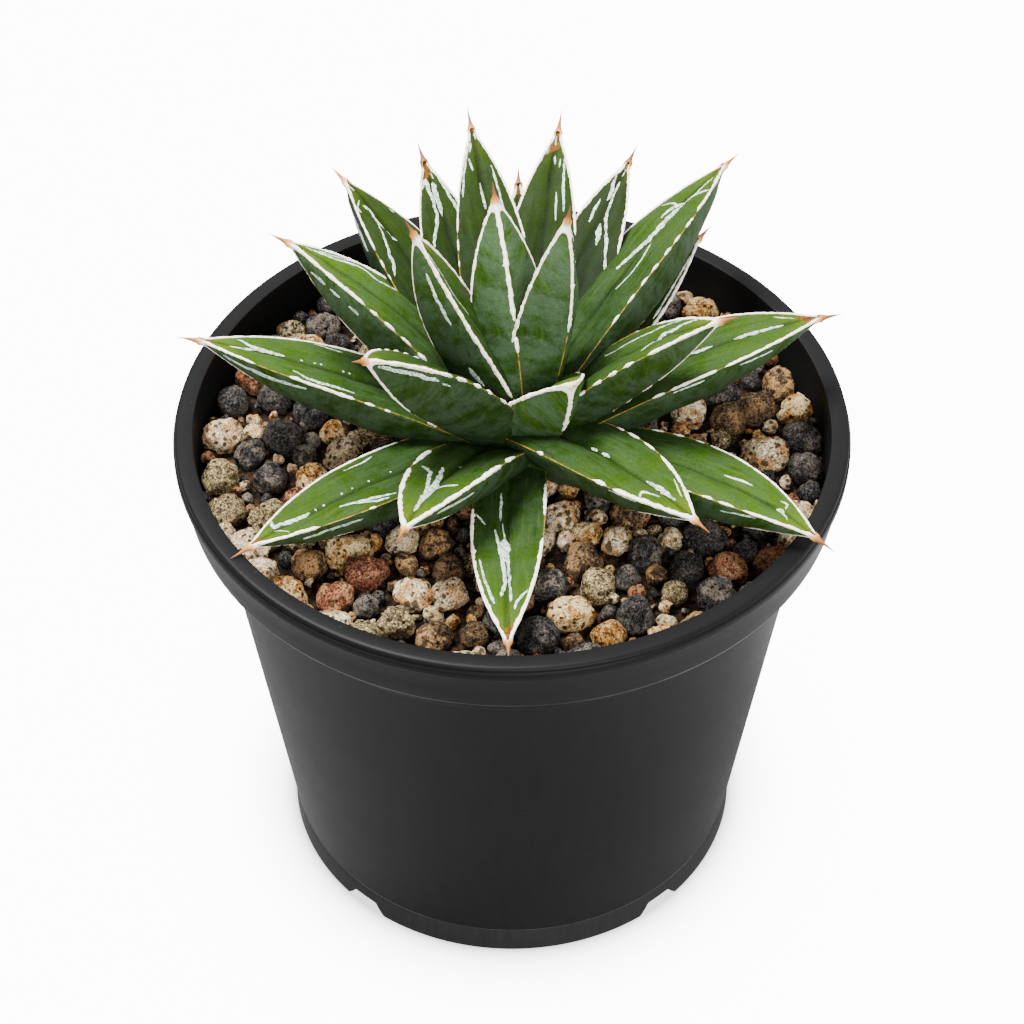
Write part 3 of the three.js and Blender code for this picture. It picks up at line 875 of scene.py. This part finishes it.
# Waxy prints on each leaf: its face, and stops of (share, across, width in millimetres).
PRINTS = {
    "leaf_01": [
        (0, (0.8, -0.45, 0.4), (0.77, -0.5, 0.6), (0.72, -0.85, 0.4)),
        (0, (0.26, 0.25, 0.4), (0.33, 0.22, 0.5), (0.4, 0.2, 0.4)),
        (0, (0.41, 0.15, 0.4), (0.54, 0.0, 0.5), (0.66, -0.12, 0.6), (0.77, -0.2, 0.4)),
        (0, (0.45, 0.35, 0.4), (0.57, 0.15, 0.9), (0.68, 0.05, 0.8), (0.75, 0.25, 0.5)),
        (0, (0.48, 0.05, 0.9), (0.53, 0.05, 1.9), (0.59, 0.05, 1.3)),
        (0, (0.59, 0.8, 0.4), (0.72, 0.7, 0.6), (0.78, 0.6, 0.4)),
        (0, (0.37, 0.9, 0.4), (0.43, 0.6, 0.6)),
    ],
    "leaf_02": [
        (1, (0.67, 0.25, 0.4), (0.77, 0.15, 0.5)),
        (0, (0.78, -0.5, 0.5), (0.8, -0.62, 0.7), (0.81, -0.25, 0.4)),
        (0, (0.79, -0.05, 0.5), (0.81, -0.05, 0.7), (0.84, 0.5, 0.4)),
        (0, (0.6, -0.2, 0.4), (0.65, -0.25, 0.6), (0.69, -0.3, 0.4)),
    ],
    "leaf_03": [
        (0, (0.82, 0.8, 0.6), (0.83, 0.3, 0.9), (0.77, 0.08, 0.8), (0.71, 0.05, 0.5)),
        (0, (0.84, 0.0, 0.5), (0.81, -0.65, 0.6)),
        (0, (0.64, -0.5, 0.4), (0.56, -0.65, 0.8), (0.47, -0.8, 0.5)),
        (0, (0.6, -0.62, 0.4), (0.54, -0.8, 0.6), (0.5, -0.85, 0.4)),
        (0, (0.52, 0.75, 0.4), (0.46, 0.72, 0.5), (0.41, 0.78, 0.3)),
        (-1, (0.78, 0.4, 0.4), (0.7, 0.28, 0.7), (0.6, 0.22, 0.5)),
        (0, (0.692, 0.05, 0.4), (0.686, 0.05, 0.5)), (0, (0.662, 0.05, 0.5), (0.655, 0.05, 0.5)),
        (0, (0.592, 0.1, 0.5), (0.585, 0.1, 0.5)), (0, (0.552, 0.1, 0.4), (0.546, 0.1, 0.4)),
        (0, (0.492, 0.1, 0.4), (0.486, 0.1, 0.5)), (0, (0.412, 0.1, 0.4), (0.405, 0.1, 0.4)),
    ],
    "leaf_04": [
        (0, (0.81, -0.05, 0.4), (0.72, -0.05, 0.6), (0.65, -0.05, 0.5)),
        (0, (0.79, -0.65, 0.5), (0.85, -0.3, 0.4)),
        (1, (0.75, 0.25, 0.4), (0.64, 0.2, 0.6)),
        (1, (0.52, 0.12, 0.4), (0.42, 0.12, 0.5)),
        (0, (0.58, -0.05, 0.5), (0.51, -0.05, 0.5)),
    ],
    "leaf_05": [
        (0, (0.82, 0.6, 0.4), (0.76, 0.15, 0.8), (0.67, 0.1, 0.5)),
        (0, (0.84, 0.0, 0.5), (0.74, 0.1, 0.4)),
        (0, (0.64, -0.65, 0.4), (0.57, -0.8, 0.8), (0.5, -0.78, 0.6), (0.45, -0.75, 0.4)),
        (0, (0.59, 0.85, 0.3), (0.54, 0.8, 0.5), (0.5, 0.8, 0.4)),
        (-1, (0.85, 0.35, 0.4), (0.71, 0.3, 0.8), (0.59, 0.2, 0.5)),
        (0, (0.622, 0.1, 0.5), (0.615, 0.1, 0.5)), (0, (0.582, 0.1, 0.4), (0.575, 0.1, 0.4)),
        (0, (0.562, 0.12, 0.5), (0.555, 0.12, 0.5)), (0, (0.492, 0.1, 0.4), (0.485, 0.1, 0.4)),
        (0, (0.472, 0.1, 0.4), (0.466, 0.1, 0.4)),
    ],
    "leaf_07": [(0, (0.85, 0.75, 0.4), (0.75, 0.75, 0.5), (0.57, 0.85, 0.4))],
    "leaf_08": [
        (0, (0.84, -0.55, 0.5), (0.82, -0.85, 0.6), (0.8, -0.75, 0.7)),
        (0, (0.82, -0.5, 0.7), (0.8, -0.28, 0.9), (0.76, -0.25, 0.9), (0.72, -0.2, 0.5)),
        (0, (0.75, -0.3, 0.4), (0.7, -0.45, 0.6), (0.66, -0.58, 0.8), (0.63, -0.66, 0.9),
         (0.6, -0.7, 1.0), (0.56, -0.85, 0.5)),
        (0, (0.71, -0.15, 0.3), (0.69, 0.0, 0.4), (0.67, 0.05, 0.4)),
        (0, (0.78, 0.75, 0.5), (0.76, 0.78, 0.6)),
        (0, (0.91, -0.45, 0.4), (0.88, -0.4, 0.5)),
        (-1, (0.84, 0.55, 0.3), (0.8, 0.45, 0.6), (0.76, 0.38, 1.1), (0.68, 0.25, 0.8)),
    ],
    "leaf_09": [
        (0, (0.79, 0.92, 0.5), (0.78, 0.6, 0.8), (0.73, 0.05, 0.9), (0.67, -0.05, 1.0),
         (0.59, -0.07, 0.9), (0.51, -0.13, 0.8), (0.45, -0.2, 0.5)),
        (0, (0.77, 0.4, 0.4), (0.72, -0.15, 0.7), (0.66, -0.2, 0.6)),
        (0, (0.55, 0.35, 0.4), (0.47, 0.42, 0.5), (0.38, 0.3, 0.4)),
        (0, (0.86, 0.35, 0.4), (0.78, 0.3, 0.8), (0.74, 0.25, 0.5)),
        (0, (0.72, -0.8, 0.5), (0.73, -0.45, 0.8), (0.72, -0.1, 0.6)),
    ],
    "leaf_10": [
        (0, (0.68, -0.05, 0.5), (0.75, -0.1, 0.9), (0.82, -0.15, 0.6)),
        (0, (0.74, 0.85, 0.4), (0.73, 0.55, 0.8), (0.78, 0.35, 0.5)),
        (0, (0.74, -0.75, 0.4), (0.82, -0.6, 0.6)),
        (1, (0.64, 0.12, 0.5), (0.74, 0.16, 0.5)),
        (0, (0.39, -0.05, 0.6), (0.425, -0.05, 0.7)), (0, (0.45, -0.05, 0.6), (0.49, -0.05, 0.7)),
    ],
    "leaf_11": [
        (0, (0.52, 0.75, 0.6), (0.57, 0.42, 0.9), (0.65, 0.25, 0.7), (0.73, 0.1, 0.5)),
        (0, (0.51, 0.25, 0.6), (0.6, 0.1, 1.1), (0.7, 0.06, 1.2), (0.83, 0.1, 0.5)),
        (0, (0.67, 0.0, 0.6), (0.65, -0.65, 0.5)),
        (-1, (0.8, 0.3, 0.4), (0.7, 0.3, 0.6), (0.62, 0.25, 0.4)),
        (0, (0.45, -0.02, 0.5), (0.455, 0.02, 0.5)),
    ],
    "leaf_12": [
        (0, (0.9, -0.6, 0.3), (0.83, -0.8, 0.4), (0.71, -0.82, 0.4)),
        (0, (0.91, 0.3, 0.4), (0.89, 0.3, 0.4)),
        (0, (0.88, -0.45, 0.4), (0.85, -0.55, 0.5)),
        (0, (0.83, -0.6, 0.4), (0.79, -0.35, 0.6)),
        (0, (0.75, -0.08, 0.5), (0.67, 0.0, 0.6)),
        (0, (0.8, 0.7, 0.3), (0.72, 0.62, 0.5), (0.66, 0.6, 0.4)),
    ],
    "leaf_13": [
        (0, (0.91, -0.25, 0.4), (0.88, -0.05, 0.5)), (0, (0.85, 0.05, 0.6), (0.82, 0.1, 0.5)),
        (0, (0.84, 0.5, 0.5), (0.81, 0.4, 0.5)), (0, (0.87, -0.7, 0.4), (0.85, -0.65, 0.5)),
        (0, (0.84, 0.8, 0.3), (0.77, 0.62, 0.6), (0.67, 0.6, 0.5)),
        (0, (0.73, 0.3, 0.5), (0.64, 0.35, 0.5)),
    ],
    "leaf_14": [
        (0, (0.9, 0.2, 0.4), (0.87, 0.05, 0.4)),
        (0, (0.87, -0.6, 0.4), (0.8, -0.15, 0.6), (0.77, -0.15, 0.4)),
        (0, (0.85, 0.1, 0.4), (0.72, 0.15, 0.6), (0.64, 0.45, 0.7), (0.53, 0.75, 0.5)),
        (0, (0.69, 0.0, 0.7), (0.65, 0.1, 1.2), (0.61, 0.2, 0.7)),
        (0, (0.77, -0.5, 0.5), (0.68, -0.4, 0.6)),
    ],
    "leaf_15": [
        (0, (0.88, 0.3, 0.4), (0.86, 0.3, 0.4)),
        (0, (0.83, -0.9, 0.5), (0.86, -0.55, 0.7), (0.81, -0.3, 0.7), (0.77, -0.25, 0.8),
         (0.73, -0.25, 0.8), (0.66, -0.55, 0.7), (0.63, -0.6, 0.5)),
        (0, (0.85, 0.12, 0.7), (0.81, 0.06, 1.1), (0.73, 0.0, 0.6)),
        (0, (0.86, 0.75, 0.4), (0.76, 0.7, 0.7), (0.64, 0.55, 0.8), (0.59, 0.55, 0.5)),
        (0, (0.65, 0.35, 0.4), (0.57, 0.35, 0.6)),
    ],
    "leaf_16": [
        (0, (0.87, 0.35, 0.4), (0.8, 0.42, 0.7), (0.7, 0.65, 0.8), (0.61, 0.55, 0.6),
         (0.52, 0.72, 0.5)),
        (0, (0.83, 0.5, 0.4), (0.76, 0.72, 0.5), (0.7, 0.82, 0.5)),
        (-1, (0.82, 0.45, 0.5), (0.76, 0.35, 0.8)), (-1, (0.74, 0.34, 0.5), (0.7, 0.3, 0.7)),
        (-1, (0.66, 0.3, 0.6), (0.62, 0.3, 0.7)),
    ],
    "leaf_17": [
        (0, (0.75, -0.8, 0.4), (0.67, -0.6, 0.6), (0.6, -0.45, 0.5), (0.4, -0.45, 0.4)),
        (0, (0.83, -0.85, 0.4), (0.74, -0.3, 0.7), (0.68, -0.1, 0.8), (0.62, 0.5, 0.4)),
    ],
    "leaf_18": [
        (-1, (0.88, 0.4, 0.5), (0.84, 0.3, 0.5), (0.75, 0.22, 0.6), (0.66, 0.2, 0.5)),
        (-1, (0.64, 0.22, 0.5), (0.6, 0.22, 0.5)),
    ],
    "leaf_21": [
        (-1, (0.8, 0.35, 0.4), (0.7, 0.32, 0.5), (0.6, 0.3, 0.4)),
        (0, (0.84, -0.3, 0.4), (0.7, -0.35, 0.6), (0.55, -0.3, 0.4)),
        (-1, (0.4, 0.4, 0.4), (0.35, 0.38, 0.8), (0.3, 0.36, 0.5)),
    ],
}


def dashes(edge, length, rand):
    """(start, end) shares of a ridge's beads: the whole run to the cap, and the dashes."""
    whole_from, _, placed = edge
    runs = [(whole_from, 1 - SPINE_SHARE)]
    if placed is not None:
        return runs + list(placed)
    at = whole_from
    while True:
        at -= (1.0 + 1.4 * rand.random()) / length
        start = at - (2.2 + 2.6 * rand.random()) / length
        if start < LOWEST_DASH:
            return runs
        runs.append((start, at))
        at = start


def build_leaf(name, materials):
    leaf = Leaf(name)
    rand = random.Random(sum(ord(c) * (i + 3) for i, c in enumerate(name)))
    cap, age, rust, patch = ENDS.get(name, DEFAULT_END)
    points, faces, attributes, uv = leaf_skin(leaf, patch)
    attributes["tone"] = [0.0] * len(points)
    attributes["age"] = [0.0] * len(points)
    face_material = [0] * len(faces)

    def join(part, material):
        more, more_faces, tone, ages = part
        base = len(points)
        points.extend(more)
        faces.extend(tuple(base + i for i in face) for face in more_faces)
        face_material.extend([material] * len(more_faces))
        uv.extend([(0.0, 0.0)] * len(more))
        for key in SKIN_KEYS:
            attributes[key].extend([0.0] * len(more))
        attributes["tone"].extend(tone)
        attributes["age"].extend(ages)

    for number, ridge in enumerate(RIDGES):
        edge = EDGES.get(name, {}).get(ridge, DEFAULT_EDGE)
        for order, (start, end) in enumerate(dashes(edge, leaf.length, rand)):
            join(bead(leaf, ridge, start, end, edge[1], order == 0, rand.random() * 50), 1)
        join(bead(leaf, ridge, SEAM_START, edge[0], SEAM_RADIUS, False, number, 0.2, 6), 2)
    join(cap_and_spine(leaf, cap, CAP_FORK, age, rust), 1)
    for number, (face, *stops) in enumerate(PRINTS.get(name, [])):
        join(print_mark(leaf, face, stops, number * 3.7 + leaf.azimuth), 3)
    return make_piece(f"{name}_blade", points, faces, materials, name, face_material,
                      attributes, uv)


def skin_material():
    """Leaf green: deep at the root, yellow-green towards the tip, with the upper face painted lighter than
    the flanks as painted light, a powdery bloom rubbed off in patches, fine grain, small dark scars, a
    painted shade line along the upper face's crease, each leaf's painted light and shade level and the
    brown patch beside the cap."""
    nodes = Nodes("leaf_skin")
    flat = nodes.place((1, 1, 1), "UV")
    long_grain = nodes.noise(nodes.place((0.1, 1.0, 1.0), "UV"), 0.8, 5.0, 0.65)
    patch = nodes.noise(flat, 0.11, 3.0, 0.55)
    speckle = nodes.noise(flat, 1.3, 4.0, 0.7)
    stomata = nodes.ramp(nodes.cells(flat, 2.3), 0.55, 0.15)
    along = nodes.value("along")
    top = nodes.value("top")
    deep = nodes.mix(patch, (0.0054, 0.0185, 0.0010), (0.0125, 0.0340, 0.0024))
    young = nodes.mix(patch, (0.0200, 0.0540, 0.0006), (0.0460, 0.0920, 0.0008))
    # Yellow-green towards the tip is the leaf's own colour. The upper face is also painted lighter than the
    # flanks as painted light.
    tip_and_lit_top = nodes.times(nodes.ramp(along, 0.25, 0.95), nodes.blend(top, 0.35, 0.95))
    green = nodes.mix(tip_and_lit_top, deep, young)
    streak = nodes.mix(nodes.times(nodes.ramp(long_grain, 0.5, 0.70), 0.4),
                       green, (0.052, 0.092, 0.010))
    powder_cloud = nodes.noise(flat, 0.2, 6.0, 0.7)
    powder_cover = nodes.times(nodes.ramp(powder_cloud, 0.36, 0.6), nodes.blend(top, 0.62, 0.24))
    powder = nodes.mix(powder_cover, streak, (0.046, 0.076, 0.044))
    scar_band = nodes.noise(nodes.place((0.25, 1.0, 1.0), "UV"), 0.55, 6.0, 0.75, 0.8)
    scar = nodes.times(nodes.ramp(scar_band, 0.64, 0.72), 0.6)
    scarred = nodes.mix(scar, powder, (0.005, 0.015, 0.003))
    seam = nodes.times(nodes.ramp(nodes.value("gap"), 0.75, 0.35), 0.5)
    edged = nodes.mix(seam, scarred, (0.040, 0.060, 0.003))
    near_cap = nodes.times(nodes.ramp(nodes.value("tip"), 11.0, 1.5), top)
    warm = nodes.mix(nodes.times(near_cap, nodes.blend(patch, 0.3, 0.75)),
                     edged, (0.088, 0.125, 0.002))
    across = nodes.math("ABSOLUTE", nodes.axes(flat)[1])
    # Painted shade: a darker line along the middle of the upper face, where its crease is.
    crease = nodes.times(nodes.ramp(across, 1.1, 0.1), nodes.times(top, -0.4))
    dark_streak = nodes.times(nodes.ramp(long_grain, 0.46, 0.3), -0.3)
    grain = nodes.plus(nodes.blend(stomata, 0.9, 1.15),
                       nodes.times(nodes.minus(speckle, 0.5), 0.5))
    grain = nodes.plus(grain, nodes.plus(crease, dark_streak))
    # Scaled by the grain, the painted crease shade and each leaf's painted light and shade level.
    grain_and_painted_light = nodes.scale(warm, nodes.times(grain, nodes.value("level")))
    ragged = nodes.plus(nodes.value("burn"), nodes.times(nodes.minus(speckle, 0.5), 0.6))
    burn = nodes.ramp(ragged, 0.35, 0.6)
    brown = nodes.mix(nodes.ramp(speckle, 0.35, 0.65), (0.045, 0.018, 0.004), (0.170, 0.075, 0.012))
    colour = nodes.mix(burn, grain_and_painted_light, brown)
    rough = nodes.blend(patch, 0.52, 0.66)
    normal = nodes.bump(long_grain, 0.3, 0.18)
    normal = nodes.bump(nodes.plus(stomata, speckle), 0.25, 0.07, normal)
    return nodes.finish(colour, rough, normal, Specular_IOR_Level=0.06)


def horn_material():
    """Horn: cream-white with a thin tan edge, ageing through orange to brown out along the spine."""
    nodes = Nodes("leaf_horn")
    place = nodes.place()
    cloud = nodes.noise(place, 0.8, 3.0, 0.6)
    fine = nodes.noise(place, 3.0, 3.0, 0.6)
    tone = nodes.value("tone")
    age = nodes.plus(nodes.value("age"), nodes.times(nodes.minus(cloud, 0.5), 0.12))
    base = nodes.mix(cloud, (0.98, 0.90, 0.72), (1.0, 0.97, 0.88))
    stain = nodes.times(nodes.ramp(tone, 0.72, 1.0), nodes.ramp(cloud, 0.40, 0.58))
    edged = nodes.mix(nodes.times(stain, 0.75), base, (0.30, 0.13, 0.035))
    peach = nodes.mix(nodes.ramp(age, 0.03, 0.34), edged, (0.68, 0.34, 0.10))
    orange = nodes.mix(nodes.ramp(age, 0.28, 0.66), peach, (0.27, 0.090, 0.015))
    brown = nodes.mix(nodes.ramp(age, 0.62, 1.0), orange, (0.085, 0.022, 0.005))
    colour = nodes.mix(nodes.times(nodes.times(nodes.ramp(age, 0.3, 0.6), fine),
                                  0.4), brown, (0.34, 0.10, 0.010))
    return nodes.finish(colour, 0.5, nodes.bump(fine, 0.4, 0.1), Specular_IOR_Level=0.35)


def seam_material():
    """The thin yellow-brown line between the horn's dashes."""
    nodes = Nodes("leaf_seam")
    fine = nodes.noise(nodes.place(), 0.7, 3.0, 0.6)
    colour = nodes.mix(nodes.ramp(fine, 0.35, 0.65), (0.05, 0.065, 0.004), (0.34, 0.20, 0.035))
    return nodes.finish(colour, 0.55, nodes.bump(fine, 0.2, 0.05), Specular_IOR_Level=0.3)


def print_material():
    """The pale waxy prints that the leaves pressed on each other in the bud."""
    nodes = Nodes("leaf_print")
    place = nodes.place()
    cloud = nodes.noise(place, 1.3, 6.0, 0.8)
    colour = nodes.mix(nodes.ramp(cloud, 0.40, 0.58), (0.12, 0.19, 0.11), (0.68, 0.80, 0.73))
    return nodes.finish(colour, 0.6, nodes.bump(cloud, 0.3, 0.08), Specular_IOR_Level=0.3)


def build_leaves():
    materials = [skin_material(), horn_material(), seam_material(), print_material()]
    for name in LEAVES:
        build_leaf(name, materials)


# ---------------------------------------------------------------- gravel
GRAVEL_RADIUS = 70.6
GRAVEL_LEVEL = 112.0
GRAVEL_SEED = 5
GRIT_DEPTH = 2.6
GRIT_MARGIN = 1.6
GRIT_THICKNESS = 1.6
GRIT_RINGS = 40
GRIT_SIDES = 96
WALL_SHARE = 0.3
CLOSENESS = 0.94
# Sizes of stone, biggest first: least and most radius, tries at placing one, most drop below the top.
STONE_SIZES = (
    (3.9, 5.0, 1500, 0.2),
    (2.9, 3.9, 3200, 0.8),
    (1.9, 2.8, 5200, 1.3),
    (1.0, 1.8, 8000, 1.9),
)
FINE_STONE_RADIUS = 4.0
SMALL_STONE_RADIUS = 2.2
STONE_KINDS = {
    # name: share, two stone colours, patch colour, how many wide pits and small pits it has
    "lava_black": (0.30, (0.006, 0.006, 0.006), (0.085, 0.078, 0.070), (0.20, 0.16, 0.12), 0.1, 0.6),
    "lava_brown": (0.14, (0.014, 0.009, 0.006), (0.160, 0.096, 0.048), (0.44, 0.25, 0.10), 0.3, 0.6),
    "lava_red": (0.08, (0.050, 0.017, 0.010), (0.33, 0.120, 0.056), (0.50, 0.29, 0.13), 0.3, 0.7),
    "pumice_cream": (0.23, (0.38, 0.26, 0.125), (0.99, 0.86, 0.57), (0.42, 0.160, 0.022), 0.9, 0.45),
    "pumice_grey": (0.10, (0.110, 0.074, 0.034), (0.64, 0.48, 0.25), (0.035, 0.022, 0.012), 0.6, 0.7),
    "clay_ochre": (0.15, (0.110, 0.040, 0.009), (0.68, 0.34, 0.090), (0.80, 0.61, 0.32), 0.6, 0.5),
}


def icosphere(subdivisions):
    form = bmesh.new()
    bmesh.ops.create_icosphere(form, subdivisions=subdivisions, radius=1.0)
    points = np.array([v.co[:] for v in form.verts])
    faces = [tuple(v.index for v in f.verts) for f in form.faces]
    form.free()
    return points, faces


def place_stones(rand):
    """(x, y, z, radius) of the stones: big ones first, then ever smaller ones in what is left."""
    stones = []
    for low, high, tries, drop in STONE_SIZES:
        for _ in range(tries):
            radius = low + (high - low) * rand.random()
            reach = GRAVEL_RADIUS - 0.2 - radius
            if rand.random() > WALL_SHARE:
                reach *= math.sqrt(rand.random())
            turn = 2 * math.pi * rand.random()
            x, y = reach * math.cos(turn), reach * math.sin(turn)
            z = GRAVEL_LEVEL - 0.1 * radius - drop * rand.random() + 0.8 * (rand.random() - 0.5)
            free = all((x - s[0]) ** 2 + (y - s[1]) ** 2 + (z - s[2]) ** 2
                       > (CLOSENESS * (radius + s[3])) ** 2 for s in stones)
            if free:
                stones.append((x, y, z, radius))
    return stones


def random_direction(rand):
    v = np.array([rand.gauss(0, 1) for _ in range(3)])
    return v / np.linalg.norm(v)


def stone_form(base, radius, rand, pits):
    """A broken, tumbled stone: worn flats, lumps and craters."""
    seed = np.array([rand.random() * 100 for _ in range(3)])
    reach = np.full(len(base), 1.08)
    for _ in range(9):
        facing = base @ random_direction(rand)
        flat = (0.76 + 0.26 * rand.random()) / np.maximum(facing, 0.05)
        reach = -np.log(np.exp(-14 * reach) + np.exp(-14 * np.minimum(flat, 3.0))) / 14
    lump = np.array([0.12 * noise.noise(Vector(p * 1.4 + seed)) + 0.08 * noise.noise(Vector(p * 3.3 + seed))
                     + 0.06 * noise.noise(Vector(p * 7.0 + seed)) for p in base])
    reach = reach + lump
    for _ in range(pits):
        size = (0.3 + 0.75 * rand.random() ** 2) / radius
        near = np.linalg.norm(base - random_direction(rand), axis=1) / size
        reach -= 0.9 * size * np.clip(1 - near ** 2, 0, 1) ** 0.6
    form = base * reach[:, None]
    form *= np.array([0.94 + 0.16 * rand.random(), 0.9 + 0.14 * rand.random(), 0.84 + 0.16 * rand.random()])
    turn = Matrix.Rotation(rand.random() * 6.28, 3, Vector((rand.random(), rand.random(), 1)))
    return form @ np.array(turn).T * radius


def stone_material(name, dark, light, patch, wide_pits, small_pits):
    """Porous stone: mottled, blotched, flecked and full of pits of two sizes, with painted shade in the
    pits and the hollows of its bumps, and painted highlights on their crests.
    """
    nodes = Nodes(name)
    place = nodes.place()
    tint = nodes.value("shade")
    mottle_and_cavity_shade = nodes.noise(place, 0.8, 6.0, 0.8, 0.3)
    blotch = nodes.ramp(nodes.noise(place, 0.25, 5.0, 0.7), 0.47, 0.56)
    fine = nodes.noise(place, 2.2, 4.0, 0.8)
    bent = nodes.add("ShaderNodeVectorMath", {
        0: place, 1: nodes.add("ShaderNodeTexNoise", {"Vector": place, "Scale": 0.9, "Detail": 5.0}
                               ).outputs["Color"]}, operation="ADD").outputs[0]
    cluster = nodes.times(nodes.minus(nodes.noise(place, 0.3, 3.0), 0.5), 0.8)
    wide = nodes.minus(nodes.cells(bent, 0.55), cluster)
    small = nodes.plus(nodes.cells(bent, 1.6), cluster)
    wide_holes = nodes.ramp(wide, 0.12 + 0.26 * wide_pits, 0.02 + 0.26 * wide_pits)
    small_holes = nodes.ramp(small, 0.2 + 0.3 * small_pits, 0.05 + 0.3 * small_pits)
    holes = nodes.math("MAXIMUM", wide_holes, nodes.times(small_holes, 0.8))
    # Mottled colour, partly painted shade: the mottle is also the bump's height, so its hollows are painted
    # darker and its crests lighter.
    base = nodes.mix(nodes.ramp(mottle_and_cavity_shade, 0.42, 0.60), dark, light)
    base = nodes.mix(nodes.times(nodes.minus(1.0, tint), 0.5), base, dark)
    base = nodes.mix(nodes.times(blotch, nodes.blend(tint, 0.1, 0.95)), base, patch)
    # Light flecks where the fine bump is high: partly real flecks, partly painted highlight on its crests.
    fleck_and_crest_highlight = nodes.times(nodes.ramp(fine, 0.55, 0.66), 0.7)
    base = nodes.mix(fleck_and_crest_highlight, base, tuple(min(1.7 * c + 0.06, 0.95) for c in light))
    # Darker where the fine bump is low: partly dust, partly painted shade in its hollows.
    dust_and_hollow_shade = nodes.times(nodes.ramp(fine, 0.50, 0.38), 0.85)
    base = nodes.mix(dust_and_hollow_shade, base, tuple(0.4 * c for c in dark))
    # Painted shade: the pits are painted near black.
    base = nodes.mix(nodes.times(holes, 0.93), base, tuple(0.12 * c for c in dark))
    normal = nodes.bump(nodes.minus(1.0, holes), 1.0, 0.55)
    normal = nodes.bump(mottle_and_cavity_shade, 0.8, 0.7, normal)
    normal = nodes.bump(fine, 0.8, 0.3, normal)
    return nodes.finish(base, 0.9, normal, Specular_IOR_Level=0.08)


def build_gravel():
    rand = random.Random(GRAVEL_SEED)
    stones = place_stones(rand)
    kinds = list(STONE_KINDS)
    shares = [STONE_KINDS[k][0] for k in kinds]
    levels = {n: icosphere(n) for n in (2, 3, 4)}
    parts = {kind: ([], [], []) for kind in kinds}
    for x, y, z, radius in stones:
        kind = rand.choices(kinds, shares)[0]
        level = 4 if radius > FINE_STONE_RADIUS else 3 if radius > SMALL_STONE_RADIUS else 2
        base, base_faces = levels[level]
        form = stone_form(base, radius, rand, int(6 + 5 * radius)) + np.array([x, y, z])
        points, faces, shade = parts[kind]
        first = len(points)
        points.extend(map(tuple, form))
        faces.extend(tuple(first + i for i in face) for face in base_faces)
        shade.extend([rand.random()] * len(form))
    for kind, (points, faces, shade) in parts.items():
        make_piece(f"gravel_{kind}", points, faces, [stone_material(kind, *STONE_KINDS[kind][1:])],
                   "gravel", attributes={"shade": shade})


def grit_material():
    nodes = Nodes("grit")
    place = nodes.place()
    cells = nodes.cells(place, 0.9)
    tint = nodes.noise(place, 0.5, 3.0, 0.6)
    colour = nodes.mix(nodes.ramp(tint, 0.4, 0.7), (0.006, 0.004, 0.003), (0.045, 0.026, 0.014))
    return nodes.finish(colour, 0.95, nodes.bump(cells, 1.0, 0.8), Specular_IOR_Level=0.05)


def build_grit_bed():
    """The dark bed of dust and grit under the stones."""
    level = GRAVEL_LEVEL - GRIT_DEPTH
    points, faces = [(0, 0, level)], []
    for ring in range(1, GRIT_RINGS + 1):
        for i in range(GRIT_SIDES):
            a = 2 * math.pi * i / GRIT_SIDES
            r = (GRAVEL_RADIUS - GRIT_MARGIN) * ring / GRIT_RINGS
            p = Vector((r * math.cos(a), r * math.sin(a), level))
            p.z += 0.7 * noise.noise(p * 0.35) + 0.35 * noise.noise(p * 0.9)
            points.append(p)
    faces += [(0, 1 + i, 1 + (i + 1) % GRIT_SIDES) for i in range(GRIT_SIDES)]
    faces += grid_faces(GRIT_RINGS, GRIT_SIDES, True, 1)
    foot = len(points)
    points += [(p[0], p[1], level - GRIT_THICKNESS) for p in points[-GRIT_SIDES:]]
    for i in range(GRIT_SIDES):
        j = (i + 1) % GRIT_SIDES
        faces.append((foot - GRIT_SIDES + i, foot + i, foot + j, foot - GRIT_SIDES + j))
    faces.append(tuple(foot + i for i in reversed(range(GRIT_SIDES))))
    make_piece("gravel_grit", points, faces, [grit_material()], "gravel")


# ---------------------------------------------------------------- soil and stem
def soil_material():
    nodes = Nodes("soil")
    place = nodes.place()
    crumb = nodes.noise(place, 0.5, 6.0, 0.7)
    fibre = nodes.ramp(nodes.noise(nodes.place((1, 1, 0.15)), 1.2, 3.0, 0.6), 0.62, 0.7)
    colour = nodes.mix(crumb, (0.020, 0.013, 0.009), (0.075, 0.048, 0.030))
    colour = nodes.mix(nodes.times(fibre, 0.5), colour, (0.16, 0.10, 0.055))
    return nodes.finish(colour, 0.95, nodes.bump(crumb, 1.0, 1.0), Specular_IOR_Level=0.15)


def stem_material():
    nodes = Nodes("stem")
    rings = nodes.noise(nodes.place((0.2, 0.2, 1.2)), 0.5, 4.0, 0.6)
    colour = nodes.mix(rings, (0.10, 0.10, 0.035), (0.24, 0.23, 0.10))
    return nodes.finish(colour, 0.7, nodes.bump(rings, 0.6, 0.5), Specular_IOR_Level=0.2)


def dress_node(name, material):
    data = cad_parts[name].data
    data.materials.clear()
    data.materials.append(material)


# ---------------------------------------------------------------- scene
make_camera()
make_studio()
build_pot()
build_grit_bed()
build_gravel()
build_leaves()
dress_node("soil", soil_material())
dress_node("stem", stem_material())
